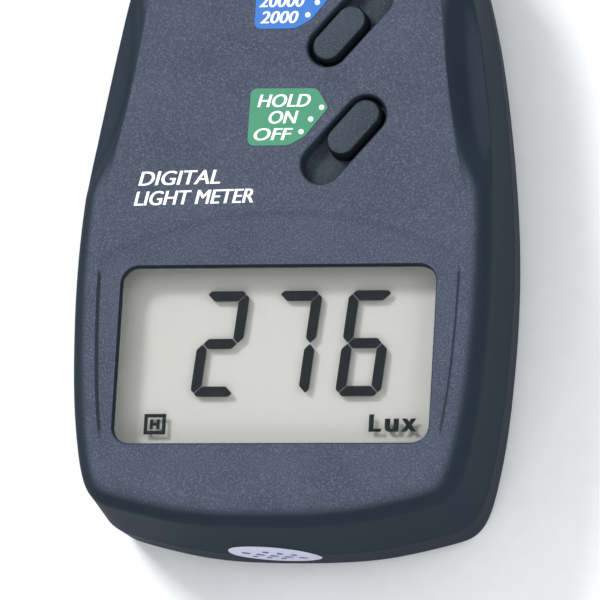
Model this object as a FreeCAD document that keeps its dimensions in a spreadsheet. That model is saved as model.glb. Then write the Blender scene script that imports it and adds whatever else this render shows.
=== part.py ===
import FreeCAD, Part
import math
import os
import re

import Sketcher
from FreeCAD import Placement, Rotation, Vector

# Handheld light meter, lying on its back.  X runs to the reader's right, Y along the
# case from the display end (chin, -Y) to the sensor end (nose, +Y), Z up out of the face.
# The origin is under the middle of the case, on the surface that it rests on.

doc = FreeCAD.newDocument("light_meter")
sheet = doc.addObject("Spreadsheet::Sheet", "Dimensions")

# Driving dimensions in millimetres (angles in degrees): alias, value, what it measures.
DRIVING = [
    ("case_width", 69.7, "widest part of the case"),
    ("case_length", 116.0, "chin to nose"),
    ("face_z", 29.0, "height of the flat face"),
    ("parting_z", 10.5, "height of the joint between the shells"),
    ("shoulder_z", 24.0, "height where the upright wall ends"),
    ("wall", 2.0, "moulded wall thickness"),
    ("front_draft", 0.7, "how far the wall leans in up to the shoulder"),
    ("back_draft", 0.6, "how far the back shell leans in down to its edge"),
    ("edge_round", 3.0, "rounding of the bottom edge"),
    ("gap", 0.3, "clearance round moving pieces"),
    ("window_y", -29.5, "middle of the display window"),
    ("window_width", 51.6, "display window, across"),
    ("window_height", 29.3, "display window, along the case"),
    ("window_corner", 2.8, "corner radius of the window"),
    ("lens_width", 54.4, "clear lens, across"),
    ("lens_height", 32.0, "clear lens, along the case"),
    ("lens_thick", 1.3, "clear lens flange thickness"),
    ("lens_step", 1.42, "raised middle of the lens above its flange"),
    ("lens_play", 0.25, "gap round the raised middle"),
    ("gasket_thick", 0.5, "foam gasket thickness"),
    ("gasket_rim", 0.5, "foam gasket, width of its rim"),
    ("glass_y", -28.3, "middle of the display glass"),
    ("glass_width", 54.2, "display glass, across"),
    ("glass_height", 33.8, "display glass, along the case"),
    ("glass_thick", 1.05, "one of the two display glasses"),
    ("reflector_thick", 0.15, "reflector foil under the glass"),
    ("frame_wall", 0.9, "wall of the display frame"),
    ("strip_depth", 1.4, "contact strip, along the case"),
    ("strip_length", 46.0, "contact strip, across"),
    ("board_z", 20.0, "underside of the main board"),
    ("board_thick", 1.6, "main board thickness"),
    ("slot_x", 9.5, "middle of both switch slots, across"),
    ("power_y", 6.05, "middle of the power slot, along"),
    ("range_y", 25.8, "middle of the range slot, along"),
    ("slot_angle", 50.0, "slots lean from the X axis, degrees"),
    ("slot_length", 16.4, "slot opening at its foot, end to end"),
    ("slot_width", 5.9, "slot opening at its foot, across"),
    ("slot_depth", 2.9, "cover plate below the face"),
    ("cover_length", 22.4, "cover plate under the slot, along the travel"),
    ("cover_width", 8.2, "cover plate, across"),
    ("cover_thick", 1.0, "cover plate thickness"),
    ("knob_length", 10.8, "switch knob, end to end"),
    ("knob_width", 5.1, "switch knob, across"),
    ("knob_proud", 0.5, "knob above the face"),
    ("knob_travel", 5.0, "switch travel, first to last position"),
    ("stem_length", 6.0, "knob stem, along the travel"),
    ("stem_width", 2.2, "knob stem, across"),
    ("switch_length", 17.0, "metal switch frame, along the travel"),
    ("switch_width", 7.4, "metal switch frame, across"),
    ("switch_height", 3.0, "metal switch frame, height"),
    ("sheet_metal", 0.4, "thickness of the switch frame"),
    ("label_thick", 0.12, "printed face labels"),
    ("sensor_y", 45.5, "middle of the light sensor"),
    ("dome_radius", 6.2, "white diffuser dome, plan radius"),
    ("dome_height", 2.3, "diffuser dome above the face"),
    ("bezel_radius", 8.0, "sensor bezel ring, outer radius"),
    ("bezel_proud", 0.8, "sensor bezel above the face"),
    ("cup_radius", 8.4, "light-tight cup, outer radius"),
    ("boss_radius", 3.0, "screw bosses"),
    ("screw_radius", 1.25, "case screw shank"),
    ("head_radius", 2.25, "case screw head"),
    ("chin_boss_x", 22.0, "chin bosses, across"),
    ("chin_boss_y", -49.4, "chin bosses, along"),
    ("nose_boss_x", 18.5, "nose bosses, across"),
    ("nose_boss_y", 41.5, "nose bosses, along"),
    ("battery_length", 46.4, "battery body, across the case"),
    ("battery_width", 26.5, "battery body, along the case"),
    ("battery_thick", 17.0, "battery body, height"),
    ("battery_left", -26.0, "left end of the battery"),
    ("battery_y", -32.15, "middle of the battery, along"),
    ("battery_z", 2.5, "underside of the battery"),
    ("door_x", -0.4, "middle of the battery door, across"),
    ("door_y", -31.5, "middle of the battery door, along"),
    ("door_width", 52.8, "battery door, across"),
    ("door_height", 29.8, "battery door, along"),
]
for row, (alias, value, meaning) in enumerate(DRIVING, 1):
    sheet.set(f"A{row}", meaning)
    sheet.set(f"B{row}", str(value))
    sheet.setAlias(f"B{row}", alias)
doc.recompute()


def val(alias):
    """Read one driving dimension."""
    return float(sheet.get(alias))


def ex(text):
    """Turn words such as face_z - wall into an expression on the sheet."""
    return re.sub(r"\b(?!sin\b|cos\b)[a-z][a-z_]+", r"Dimensions.\g<0>", str(text))


def bind(obj, **sizes):
    """Bind an object's sizes to the sheet, x y z to its place."""
    for name, text in sizes.items():
        path = "Placement.Base." + name if name in ("x", "y", "z") else name
        obj.setExpression(path, ex(text))
    return obj


# ---------------------------------------------------------------- building blocks

def block(name, width, depth, height, x="0", y="0", z="0"):
    """A box centred on x, y with its underside at z."""
    box = doc.addObject("Part::Box", name)
    bind(box, Length=width, Width=depth, Height=height)
    return bind(box, x=f"{x} - ({width}) / 2", y=f"{y} - ({depth}) / 2", z=z)


def rod(name, radius, height, x="0", y="0", z="0"):
    """An upright cylinder."""
    return bind(doc.addObject("Part::Cylinder", name), Radius=radius, Height=height, x=x, y=y, z=z)


def fuse(name, pieces):
    joined = doc.addObject("Part::MultiFuse", name)
    joined.Shapes = pieces
    return joined


def cut(name, base, tool):
    rest = doc.addObject("Part::Cut", name)
    rest.Base = base
    rest.Tool = tool
    return rest


def common(name, first, second):
    shared = doc.addObject("Part::Common", name)
    shared.Base = first
    shared.Tool = second
    return shared


def group(name, pieces):
    """Separate like solids that share one node."""
    bundle = doc.addObject("Part::Compound", name)
    bundle.Links = pieces
    return bundle


def new_body(name, x="0", y="0", z="0", turn="0"):
    """A PartDesign body, turned about Z by an angle from the sheet."""
    body = doc.addObject("PartDesign::Body", name)
    body.Placement = Placement(Vector(0, 0, 0), Rotation(Vector(0, 0, 1), 1))
    bind(body, x=x, y=y, z=z)
    body.setExpression("Placement.Rotation.Angle", ex(turn))
    return body


def sketch_on(body, name, height="0"):
    """A sketch parallel to the body's base plane."""
    base = next(f for f in body.Origin.OriginFeatures if f.Role == "XY_Plane")
    sketch = body.newObject("Sketcher::SketchObject", name)
    sketch.AttachmentSupport = [(base, "")]
    sketch.MapMode = "FlatFace"
    sketch.setExpression("AttachmentOffset.Base.z", ex(height))
    return sketch


def name_last(sketch, name, text):
    """Give the newest constraint a name and bind it to the sheet."""
    sketch.renameConstraint(sketch.ConstraintCount - 1, name)
    sketch.setExpression("Constraints." + name, ex(text))


def draw_rectangle(sketch, width, depth):
    """A rectangle centred on the sketch's origin."""
    corners = [Vector(-5, -4, 0), Vector(5, -4, 0), Vector(5, 4, 0), Vector(-5, 4, 0)]
    for i in range(4):
        sketch.addGeometry(Part.LineSegment(corners[i], corners[(i + 1) % 4]))
    for i in range(4):
        sketch.addConstraint(Sketcher.Constraint("Coincident", i, 2, (i + 1) % 4, 1))
        sketch.addConstraint(Sketcher.Constraint("Horizontal" if i % 2 == 0 else "Vertical", i))
    sketch.addConstraint(Sketcher.Constraint("Symmetric", 0, 1, 1, 2, -1, 1))
    sketch.addConstraint(Sketcher.Constraint("DistanceX", 0, 1, 0, 2, 10))
    name_last(sketch, "across", width)
    sketch.addConstraint(Sketcher.Constraint("DistanceY", 1, 1, 1, 2, 8))
    name_last(sketch, "along", depth)


def draw_slot(sketch, length, width):
    """A slot with round ends, centred, its long way along the sketch's X."""
    half, radius = 6.0, 2.0
    up, down = Vector(0, 0, 1), math.pi / 2
    sketch.addGeometry(Part.LineSegment(Vector(-half, -radius, 0), Vector(half, -radius, 0)))
    right = Part.Circle(Vector(half, 0, 0), up, radius)
    sketch.addGeometry(Part.ArcOfCircle(right, -down, down))
    sketch.addGeometry(Part.LineSegment(Vector(half, radius, 0), Vector(-half, radius, 0)))
    left = Part.Circle(Vector(-half, 0, 0), up, radius)
    sketch.addGeometry(Part.ArcOfCircle(left, down, 3 * down))
    for first, second in ((0, 1), (1, 2), (2, 3), (3, 0)):
        sketch.addConstraint(Sketcher.Constraint("Tangent", first, 2, second, 1))
    sketch.addConstraint(Sketcher.Constraint("Horizontal", 0))
    sketch.addConstraint(Sketcher.Constraint("Equal", 1, 3))
    sketch.addConstraint(Sketcher.Constraint("Symmetric", 1, 3, 3, 3, -1, 1))
    sketch.addConstraint(Sketcher.Constraint("Radius", 1, radius))
    name_last(sketch, "end", f"({width}) / 2")
    sketch.addConstraint(Sketcher.Constraint("DistanceX", 3, 3, 1, 3, 2 * half))
    name_last(sketch, "run", f"({length}) - ({width})")


def draw_polygon(sketch, points):
    """A closed outline of straight lines through the given points."""
    count = len(points)
    for i in range(count):
        start, end = points[i], points[(i + 1) % count]
        sketch.addGeometry(Part.LineSegment(Vector(*start, 0), Vector(*end, 0)))
    for i in range(count):
        sketch.addConstraint(Sketcher.Constraint("Coincident", i, 2, (i + 1) % count, 1))


def draw_circles(sketch, places, radius):
    for x, y in places:
        sketch.addGeometry(Part.Circle(Vector(x, y, 0), Vector(0, 0, 1), 1.0))
        last = sketch.GeometryCount - 1
        sketch.addConstraint(Sketcher.Constraint("Radius", last, 1.0))
        name_last(sketch, f"hole{last}", radius)


def pad(body, sketch, height, taper="0", downwards=False):
    """Raise the sketch; a positive taper widens it as it goes."""
    solid = body.newObject("PartDesign::Pad", sketch.Name + "_pad")
    solid.Profile = sketch
    solid.setExpression("Length", ex(height))
    solid.setExpression("TaperAngle", ex(taper))
    solid.Reversed = downwards
    return solid


def pocket(body, sketch, depth, upwards=False):
    """Cut the sketch away, downwards unless told otherwise."""
    doc.recompute()
    before = body.Shape.Volume
    hole = body.newObject("PartDesign::Pocket", sketch.Name + "_pocket")
    hole.Profile = sketch
    hole.setExpression("Length", ex(depth))
    hole.Reversed = upwards
    doc.recompute()
    if body.Shape.Volume > before - 1e-3:
        raise RuntimeError(sketch.Name + " cuts nothing")
    return hole


def round_edges(body, feature, radius, wanted):
    """Fillet the edges of a feature that the wanted test picks."""
    doc.recompute()
    names = [f"Edge{i}" for i, edge in enumerate(feature.Shape.Edges, 1) if wanted(edge)]
    soft = body.newObject("PartDesign::Fillet", feature.Name + "_round")
    soft.Base = (feature, names)
    soft.setExpression("Radius", ex(radius))
    return soft


def upright(edge):
    """True for a straight edge along Z."""
    box = edge.BoundBox
    return box.XLength < 1e-6 and box.YLength < 1e-6


def at_height(height):
    """A test for edges that lie flat at one height."""
    return lambda edge: edge.BoundBox.ZLength < 1e-6 and abs(edge.BoundBox.ZMin - height) < 1e-6


def plate(name, width, depth, thick, x="0", y="0", z="0", corner=None):
    """A flat rectangular piece, with round corners if asked."""
    body = new_body(name, x, y, z)
    sketch = sketch_on(body, name + "_outline")
    draw_rectangle(sketch, width, depth)
    flat = pad(body, sketch, thick)
    if corner:
        round_edges(body, flat, corner, upright)
    return body


# ---------------------------------------------------------------- the two shells
# The outline is a waisted drop: wide at the display end, narrowing to a round nose.
# Right half, chin to nose, as parts of the half width and half length.
OUTLINE = [
    (0.000, -1.001), (0.230, -0.998), (0.434, -0.986), (0.620, -0.963), (0.746, -0.943),
    (0.838, -0.919), (0.887, -0.884), (0.917, -0.838), (0.945, -0.760), (0.971, -0.650),
    (0.990, -0.500), (1.000, -0.320), (0.997, -0.180), (0.986, -0.060), (0.963, 0.085),
    (0.917, 0.290), (0.851, 0.510), (0.760, 0.715), (0.655, 0.862), (0.497, 0.950),
    (0.262, 0.992), (0.000, 1.000),
]
SCOOP_Y = 16.5       # the thumb scoops are deepest here
SCOOP_REACH = 19.0   # and run out this far to either side
SHOULDER_ROUND = 5.0

# Sections through the shoulder from the upright wall to the face, as (inwards, up):
# plain round shoulder, and the thumb scoop with its ledge, hollow and crisp crest.
SHOULDER = [(SHOULDER_ROUND * (1 - math.cos(math.radians(a))), SHOULDER_ROUND * math.sin(math.radians(a)))
            for a in (0, 22.5, 45, 67.5, 90)]
SCOOP = [(0.0, 0.0), (2.6, 0.6), (3.6, 2.0), (4.9, 4.0), (5.4, 5.0)]


def scoop_share(y):
    """0 where the shoulder is plain, about 1 in the middle of a thumb scoop."""
    t = (y - SCOOP_Y) / SCOOP_REACH
    return 1.06 * max(0.0, 1 - t * t) ** 1.3


def stations():
    """Outline points and their inward normals, once round the case."""
    across, along = val("case_width") / 2, val("case_length") / 2
    right = [Vector(x * across, y * along, 0) for x, y in OUTLINE]
    left = [Vector(-p.x, p.y, 0) for p in right[-2:0:-1]]
    loop = right + left
    normals = []
    for i, point in enumerate(loop):
        run = (loop[(i + 1) % len(loop)] - loop[i - 1]).normalize()
        normals.append(Vector(-run.y, run.x, 0))
    return list(zip(loop, normals))


STATIONS = stations()


def ring(place):
    """A closed smooth wire; place gives (inwards, height) for each outline point."""
    points = []
    for point, normal in STATIONS:
        inwards, height = place(point)
        points.append(point + normal * inwards + Vector(0, 0, height))
    curve = Part.BSplineCurve()
    curve.interpolate(Points=points, PeriodicFlag=True)
    return Part.Wire(curve.toShape())


def level(inwards, height):
    return ring(lambda point: (inwards, height))


def shoulder_ring(step, inwards, height, flat=None):
    """The ring at one step of the shoulder section, moved inwards and up, or held flat."""
    def place(point):
        share = scoop_share(point.y)
        plain, scoop = SHOULDER[step], SCOOP[step]
        return (inwards + plain[0] + share * (scoop[0] - plain[0]),
                flat or height + plain[1] + share * (scoop[1] - plain[1]))
    return ring(place)


def lofted(name, rings):
    """A solid through a stack of rings."""
    feature = doc.addObject("Part::Feature", name)
    feature.Shape = Part.makeLoft(rings, True, True)
    return feature


steps = range(len(SHOULDER))
wall = val("wall")
front_outer = lofted("front_outer", [level(0, val("parting_z"))] + [
    shoulder_ring(step, val("front_draft"), val("shoulder_z")) for step in steps])
inner_start = val("front_draft") + wall, val("shoulder_z") - wall
front_inner = lofted("front_inner", [
    level(wall, val("parting_z") - 1), shoulder_ring(0, *inner_start), shoulder_ring(2, *inner_start),
    shoulder_ring(3, *inner_start, flat=val("face_z") - wall)])
BELOW = 1.0          # tools start this far outside the piece that they cut
edge = val("edge_round")
back_outer = lofted("back_outer", [
    level(val("back_draft") + edge, 0), level(val("back_draft") + 0.9, 0.9),
    level(val("back_draft"), edge), level(0, val("parting_z"))])
back_inner = lofted("back_inner", [
    level(val("back_draft") + edge + 0.6, wall), level(val("back_draft") + wall, wall + 2),
    level(wall, val("parting_z")), level(wall, val("parting_z") + BELOW)])

BOSSES = [("chin", sx) for sx in (-1, 1)] + [("nose", sx) for sx in (-1, 1)]
BOARD_POSTS = [(-24.0, -7.4), (24.0, -7.4), (-20.6, 25.0), (20.6, 25.0)]
SWITCHES = ("power", "range")


def boss(name, end, side, radius, height, z):
    return rod(name, radius, height, f"{side} * {end}_boss_x", f"{end}_boss_y", z)


def slot_body(name, switch, length, width, z, height, taper="0", shift="0"):
    """A slot-shaped prism on a switch's centre line, moved along the travel by shift."""
    body = new_body(name, f"slot_x + ({shift}) * cos(slot_angle)",
                    f"{switch}_y + ({shift}) * sin(slot_angle)", z, "slot_angle")
    sketch = sketch_on(body, name + "_outline")
    draw_slot(sketch, length, width)
    pad(body, sketch, height, taper)
    return body


# Front shell: the void inside leaves the bosses, board posts and slot lips standing.
kept = [boss(f"front_boss_{end}{side + 1}", end, side, "boss_radius", "face_z - parting_z",
             "parting_z + gap / 2") for end, side in BOSSES]
kept += [rod(f"board_post_{i}", "2.5", "face_z - board_z", str(x), str(y), "board_z + board_thick")
         for i, (x, y) in enumerate(BOARD_POSTS)]
kept += [slot_body(f"{switch}_lip", switch, "slot_length + 2.4", "slot_width + 2.6",
                   "face_z - slot_depth + gap", "slot_depth - gap - 0.5") for switch in SWITCHES]
kept.append(rod("sensor_collar", "bezel_radius + 1.4", "4", "0", "sensor_y", "face_z - 3.4"))
front_void = cut("front_void", front_inner, fuse("front_kept", kept))
front_cast = cut("front_cast", front_outer, front_void)

tools = [plate("window_cut", "window_width", "window_height", "6", "0", "window_y",
               "face_z - 4", "window_corner")]
tools.append(block("lens_seat", "lens_width + 0.4", "lens_height + 0.4", "4", "0", "window_y",
                   "face_z - wall - 4"))
tools.append(block("frame_seat", "glass_width + 2 * frame_wall + 0.5",
                   "glass_height + 2 * frame_wall + 0.5", "5", "0", "glass_y",
                   "face_z - wall - lens_thick - 5"))
for switch in SWITCHES:
    tools.append(slot_body(f"{switch}_opening", switch, "slot_length", "slot_width",
                           "face_z - slot_depth", "slot_depth + 0.5", "9"))
tools.append(rod("sensor_bore", "dome_radius + 0.9", "8", "0", "sensor_y", "face_z - 6"))
tools.append(rod("bezel_seat", "bezel_radius + 0.05", "3", "0", "sensor_y", "face_z - 1.2"))
tools.append(rod("cup_seat", "cup_radius + 0.1", "4", "0", "sensor_y", "face_z - 2.2 - 4"))
tools += [boss(f"front_pilot_{end}{side + 1}", end, side, "screw_radius + 0.05", "9",
               "parting_z - 1") for end, side in BOSSES]
tools += [rod(f"post_pilot_{i}", "0.9", "5", str(x), str(y), "board_z + board_thick - 0.5")
          for i, (x, y) in enumerate(BOARD_POSTS)]
front_shell = cut("front_shell", front_cast, fuse("front_tools", tools))

# Back shell: floor with the battery bay walls, screw bosses and the door opening.
kept = [boss(f"back_boss_{end}{side + 1}", end, side, "boss_radius", "parting_z", "0")
        for end, side in BOSSES]
bay_height = "15.6"
bay_outside = block("bay_outside", "door_width + 2 * gap + 2.8", "door_height + 2 * gap + 2.8",
                    bay_height, "door_x", "door_y", "wall")
bay_inside = block("bay_inside", "door_width + 2 * gap + 0.4", "door_height + 2 * gap + 0.4",
                   "20", "door_x", "door_y", "wall - 1")
boss_room = [boss(f"boss_room_{side + 1}", "chin", side, "boss_radius + gap", "12", "parting_z")
             for side in (-1, 1)]
bay_walls = cut("bay_walls", bay_outside, fuse("bay_tools", [bay_inside, *boss_room]))
back_void = cut("back_void", back_inner, fuse("back_kept", kept))
back_cast = cut("back_cast", back_outer, back_void)
back_whole = fuse("back_whole", [back_cast, bay_walls])
TAB_X = (-17.0, 17.0)
tools = [block("door_opening", "door_width + 2 * gap", "door_height + 2 * gap", "4", "door_x",
               "door_y", "-1")]
tools += [block(f"tab_notch_{i}", "7.6", "3.2", "5.2", str(x), "door_y + door_height / 2 + 1.3",
                "wall") for i, x in enumerate(TAB_X)]
tools.append(block("lead_notch", "4.4", "4", "10", "22.8", "door_y + door_height / 2 + 1.2", "8.4"))
tools.append(block("latch_notch", "12.6", "1.8", "4", "door_x", "door_y - door_height / 2 - 0.9",
                   "wall"))
tools.append(bind(rod("finger_scoop", "4.5", "1", "door_x", "door_y - door_height / 2", "0"), z="-0.1"))
for end, side in BOSSES:
    tools.append(boss(f"head_hole_{end}{side + 1}", end, side, "head_radius + 0.25", "6.5", "-1"))
    tools.append(boss(f"shank_hole_{end}{side + 1}", end, side, "screw_radius + 0.15", "20", "-1"))
tools.append(block("rear_label_seat", "34.6", "24.6", "1", "0", "14", "-0.75"))
back_shell = cut("back_shell", back_whole, fuse("back_tools", tools))

# ---------------------------------------------------------------- battery door
# The door closes the bay from below.  It hooks on two tabs at its nose-side edge, turns
# about that edge's outer corner, and its latch tongue stands at the chin side.
door = plate("battery_door", "door_width", "door_height", "wall", "door_x", "door_y", "0", "0.8")
for i, x in enumerate(TAB_X):
    side = sketch_on(door, f"tab_neck_{i}", "wall")
    bind(side, **{"AttachmentOffset.Base.x": f"{x} - door_x",
                  "AttachmentOffset.Base.y": "door_height / 2 - 0.5"})
    draw_rectangle(side, "6.4", "1.0")
    pad(door, side, "1.2")
    tip = sketch_on(door, f"tab_tip_{i}", "wall + gap")
    bind(tip, **{"AttachmentOffset.Base.x": f"{x} - door_x",
                 "AttachmentOffset.Base.y": "door_height / 2 + 0.6"})
    draw_rectangle(tip, "6.4", "3.2")
    pad(door, tip, "0.9")
tongue = sketch_on(door, "latch_tongue", "wall")
bind(tongue, **{"AttachmentOffset.Base.y": "-door_height / 2 + 0.5"})
draw_rectangle(tongue, "11.4", "1.0")
pad(door, tongue, "1.6")
grip = sketch_on(door, "finger_grip", "0")
bind(grip, **{"AttachmentOffset.Base.y": "-door_height / 2 + 4.2"})
draw_slot(grip, "14", "1.2")
pocket(door, grip, "0.5", upwards=True)

# ---------------------------------------------------------------- display
lens_z = "face_z - wall - lens_thick"
glass_top = lens_z + " - gasket_thick"
# The lens is stepped: its flange lies behind the face, its raised middle fills the window.
display_window = plate("display_window", "lens_width", "lens_height", "lens_thick", "0", "window_y",
                       lens_z, "2.4")
lens_middle = sketch_on(display_window, "lens_middle", "lens_thick")
draw_rectangle(lens_middle, "window_width - 2 * lens_play", "window_height - 2 * lens_play")
raised = pad(display_window, lens_middle, "lens_step")
round_edges(display_window, raised, "window_corner - lens_play",
            lambda edge: upright(edge) and edge.BoundBox.ZMin > val("lens_thick") - 0.01)
gasket_sheet = plate("gasket_sheet", "glass_width", "glass_height", "gasket_thick - 0.02", "0",
                     "glass_y", glass_top + " + 0.01", "1.0")
gasket_hole = plate("gasket_hole", "glass_width - 2 * gasket_rim", "glass_height - 2 * gasket_rim", "4",
                    "0", "glass_y", glass_top + " - 1", "0.6")
window_gasket = cut("window_gasket", gasket_sheet, gasket_hole)
front_glass = plate("lcd_front_glass", "glass_width", "glass_height", "glass_thick", "0", "glass_y",
                    glass_top + " - glass_thick", "0.3")
rear_depth = "glass_height - 2 * strip_depth"
rear_glass = plate("lcd_rear_glass", "glass_width", rear_depth, "glass_thick - 0.02", "0", "glass_y",
                   glass_top + " - 2 * glass_thick - 0.02", "0.3")
reflector = plate("lcd_reflector", "glass_width", rear_depth, "reflector_thick - 0.02", "0",
                  "glass_y", glass_top + " - 2 * glass_thick - 0.04 - reflector_thick + 0.02")
strips = []
for name, side in (("zebra_strip_upper", 1), ("zebra_strip_lower", -1)):
    strips.append(plate(name, "strip_length", "strip_depth - 0.3",
                        glass_top + " - glass_thick - board_z - board_thick - 0.02", "0",
                        f"glass_y + {side} * (glass_height - strip_depth) / 2",
                        "board_z + board_thick + 0.01", "0.4"))
frame_ring = plate("frame_ring", "glass_width + 2 * frame_wall + 0.1",
                   "glass_height + 2 * frame_wall + 0.1",
                   glass_top + " - board_z - board_thick - 0.05", "0", "glass_y",
                   "board_z + board_thick", "0.9")
frame_well = block("frame_well", "glass_width + 0.1", "glass_height + 0.1", "9", "0", "glass_y",
                   "board_z + board_thick - 1")
lcd_frame = cut("lcd_frame", frame_ring, frame_well)

# ---------------------------------------------------------------- main board
# One board runs from the display to the sensor, necked between the nose bosses.
BOARD_OUTLINE = [
    (-28.2, -46.1), (28.2, -46.1), (28.2, -14), (26.2, -2), (22.6, 36.2), (14.2, 37.6),
    (14.2, 51.5), (-14.2, 51.5), (-14.2, 37.6), (-22.6, 36.2), (-26.2, -2), (-28.2, -14),
]
board = new_body("main_board", z="board_z")
outline = sketch_on(board, "board_outline")
draw_polygon(outline, BOARD_OUTLINE)
pad(board, outline, "board_thick")
holes = sketch_on(board, "board_holes", "board_thick")
draw_circles(holes, BOARD_POSTS, "1.15")
pocket(board, holes, "board_thick")

# ---------------------------------------------------------------- switches
# Each knob slides 5 mm in its slot.  A cover plate moulded under it always fills the
# slot from below, and its stem drops into a slider, which carries the bridging wiper
# over the board inside a folded metal frame.
# At rest the power knob is in its last position and the range knob in its first.
REST_SHIFT = {"power": "knob_travel / 2", "range": "-knob_travel / 2"}
slot_bottom = "face_z - slot_depth"
frame_top = "board_z + board_thick + switch_height"
moving = {}
for switch in SWITCHES:
    shift = REST_SHIFT[switch]
    # cap, cover plate and stem, one moulding
    knob = new_body(f"{switch}_knob", f"slot_x + ({shift}) * cos(slot_angle)",
                    f"{switch}_y + ({shift}) * sin(slot_angle)", slot_bottom, "slot_angle")
    cap = sketch_on(knob, f"{switch}_cap")
    draw_slot(cap, "knob_length", "knob_width")
    crown = pad(knob, cap, "slot_depth + knob_proud", "-2.5")
    round_edges(knob, crown, "1.3", at_height(val("slot_depth") + val("knob_proud")))
    cover = sketch_on(knob, f"{switch}_cover")
    draw_slot(cover, "cover_length", "cover_width")
    pad(knob, cover, "cover_thick", downwards=True)
    stem = sketch_on(knob, f"{switch}_stem")
    draw_slot(stem, "stem_length", "stem_width")
    pad(knob, stem, slot_bottom + " - (board_z + board_thick + 1.4)", downwards=True)
    # slider under the frame's top plate, with the stem's socket
    slider = new_body(f"{switch}_slider", f"slot_x + ({shift}) * cos(slot_angle)",
                      f"{switch}_y + ({shift}) * sin(slot_angle)", "board_z + board_thick + 0.7",
                      "slot_angle")
    tray = sketch_on(slider, f"{switch}_tray")
    draw_rectangle(tray, "stem_length + 2", "4.8")
    pad(slider, tray, "switch_height - sheet_metal - 0.7 - 0.15")
    socket = sketch_on(slider, f"{switch}_socket",
                       "switch_height - sheet_metal - 0.7 - 0.15")
    draw_slot(socket, "stem_length + 0.04", "stem_width + 0.04")
    pocket(slider, socket, "switch_height - sheet_metal - 0.85 - 0.65")
    # sprung wiper plate with two contact bumps
    wiper = new_body(f"{switch}_wiper", f"slot_x + ({shift}) * cos(slot_angle)",
                     f"{switch}_y + ({shift}) * sin(slot_angle)", "board_z + board_thick + 0.5",
                     "slot_angle")
    spring = sketch_on(wiper, f"{switch}_spring")
    draw_slot(spring, "stem_length + 0.6", "4.2")
    pad(wiper, spring, "0.2")
    bumps = sketch_on(wiper, f"{switch}_bumps", "0")
    draw_circles(bumps, [(-2.0, -1.1), (-2.0, 1.1)], "0.5")
    pad(wiper, bumps, "0.45", downwards=True)
    # folded metal frame, open towards the board, slotted for the stem
    can = new_body(f"{switch}_switch_frame", "slot_x", f"{switch}_y", "board_z + board_thick",
                   "slot_angle")
    shell = sketch_on(can, f"{switch}_can")
    draw_rectangle(shell, "switch_length", "switch_width")
    solid = pad(can, shell, "switch_height")
    round_edges(can, solid, "0.8", upright)
    inside = sketch_on(can, f"{switch}_inside", "switch_height - sheet_metal")
    draw_rectangle(inside, "switch_length - 2 * sheet_metal", "switch_width - 2 * sheet_metal")
    pocket(can, inside, "switch_height")
    window = sketch_on(can, f"{switch}_window", "switch_height")
    draw_slot(window, "stem_length + knob_travel + 2 * gap", "stem_width + 2 * gap")
    pocket(can, window, "sheet_metal + 0.2")
    moving[switch] = [knob, slider, wiper]

# ---------------------------------------------------------------- face labels
# A tab shape: square on the left, pointed at the right where it follows the slot.
LABEL_OUTLINE = [(-6.35, 4.85), (-6.2, 14.6), (4.9, 14.5), (6.55, 11.5), (3.3, 6.5), (1.2, 4.85)]
labels = []
for switch in SWITCHES:
    shift_y = 0 if switch == "power" else val("range_y") - val("power_y")
    label = new_body(f"{switch}_label", z="face_z")
    tab = sketch_on(label, f"{switch}_tab")
    draw_polygon(tab, [(x, y + shift_y) for x, y in LABEL_OUTLINE])
    thin = pad(label, tab, "label_thick")
    round_edges(label, thin, "0.7", upright)
    labels.append(label)

# ---------------------------------------------------------------- light sensor
# A ring in the face holds the diffuser dome; under it a correction filter lies on the
# photodiode, and a black cup keeps stray light out.
bezel_disc = rod("bezel_disc", "bezel_radius", "1.2 + bezel_proud", "0", "sensor_y", "face_z - 1.2")
bezel_hole = rod("bezel_hole", "dome_radius + 0.1", "9", "0", "sensor_y", "face_z - 4")
bezel_cut = cut("bezel_cut", bezel_disc, bezel_hole)
doc.recompute()
sensor_bezel = doc.addObject("Part::Chamfer", "sensor_bezel")
sensor_bezel.Base = bezel_cut
bezel_top = val("face_z") + val("bezel_proud")
sensor_bezel.Edges = [(i, 0.35, 0.35) for i, e in enumerate(bezel_cut.Shape.Edges, 1)
                      if at_height(bezel_top)(e)]
skirt = rod("dome_skirt", "dome_radius", "3.0", "0", "sensor_y", "face_z - 2.2")
flange = rod("dome_flange", "dome_radius + 0.8", "0.9", "0", "sensor_y", "face_z - 2.2")
ball = doc.addObject("Part::Ellipsoid", "dome_ball")
bind(ball, Radius1="dome_height - 0.8", Radius2="dome_radius", Radius3="dome_radius", y="sensor_y",
     z="face_z + 0.8")
ball.Angle1 = 0
sensor_dome = fuse("sensor_dome", [skirt, flange, ball])
sensor_filter = rod("sensor_filter", "5.5", "1.0", "0", "sensor_y", "face_z - 2.2 - 1.02")
diode_z = "board_z + board_thick + 1.2"
photodiode = plate("photodiode", "7.6", "7.6", f"face_z - 3.24 - ({diode_z})", "0", "sensor_y",
                   diode_z, "0.4")
cup_height = "face_z - 2.22 - board_z - board_thick"
cup_outside = rod("cup_outside", "cup_radius", cup_height, "0", "sensor_y", "board_z + board_thick")
cup_inside = rod("cup_inside", "5.6", "12", "0", "sensor_y", "board_z + board_thick + 1.0")
sensor_cup = cut("sensor_cup", cup_outside, cup_inside)

# ---------------------------------------------------------------- battery
battery_body = block("battery_case", "battery_length", "battery_width", "battery_thick",
                     "battery_left + battery_length / 2", "battery_y", "battery_z")
doc.recompute()
battery = doc.addObject("Part::Fillet", "battery")
battery.Base = battery_body
battery.Edges = [(i, 2.2, 2.2) for i, e in enumerate(battery_body.Shape.Edges, 1)
                 if e.BoundBox.XLength > 5]
battery_end = "battery_left + battery_length"
mid_z = "battery_z + battery_thick / 2"


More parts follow.
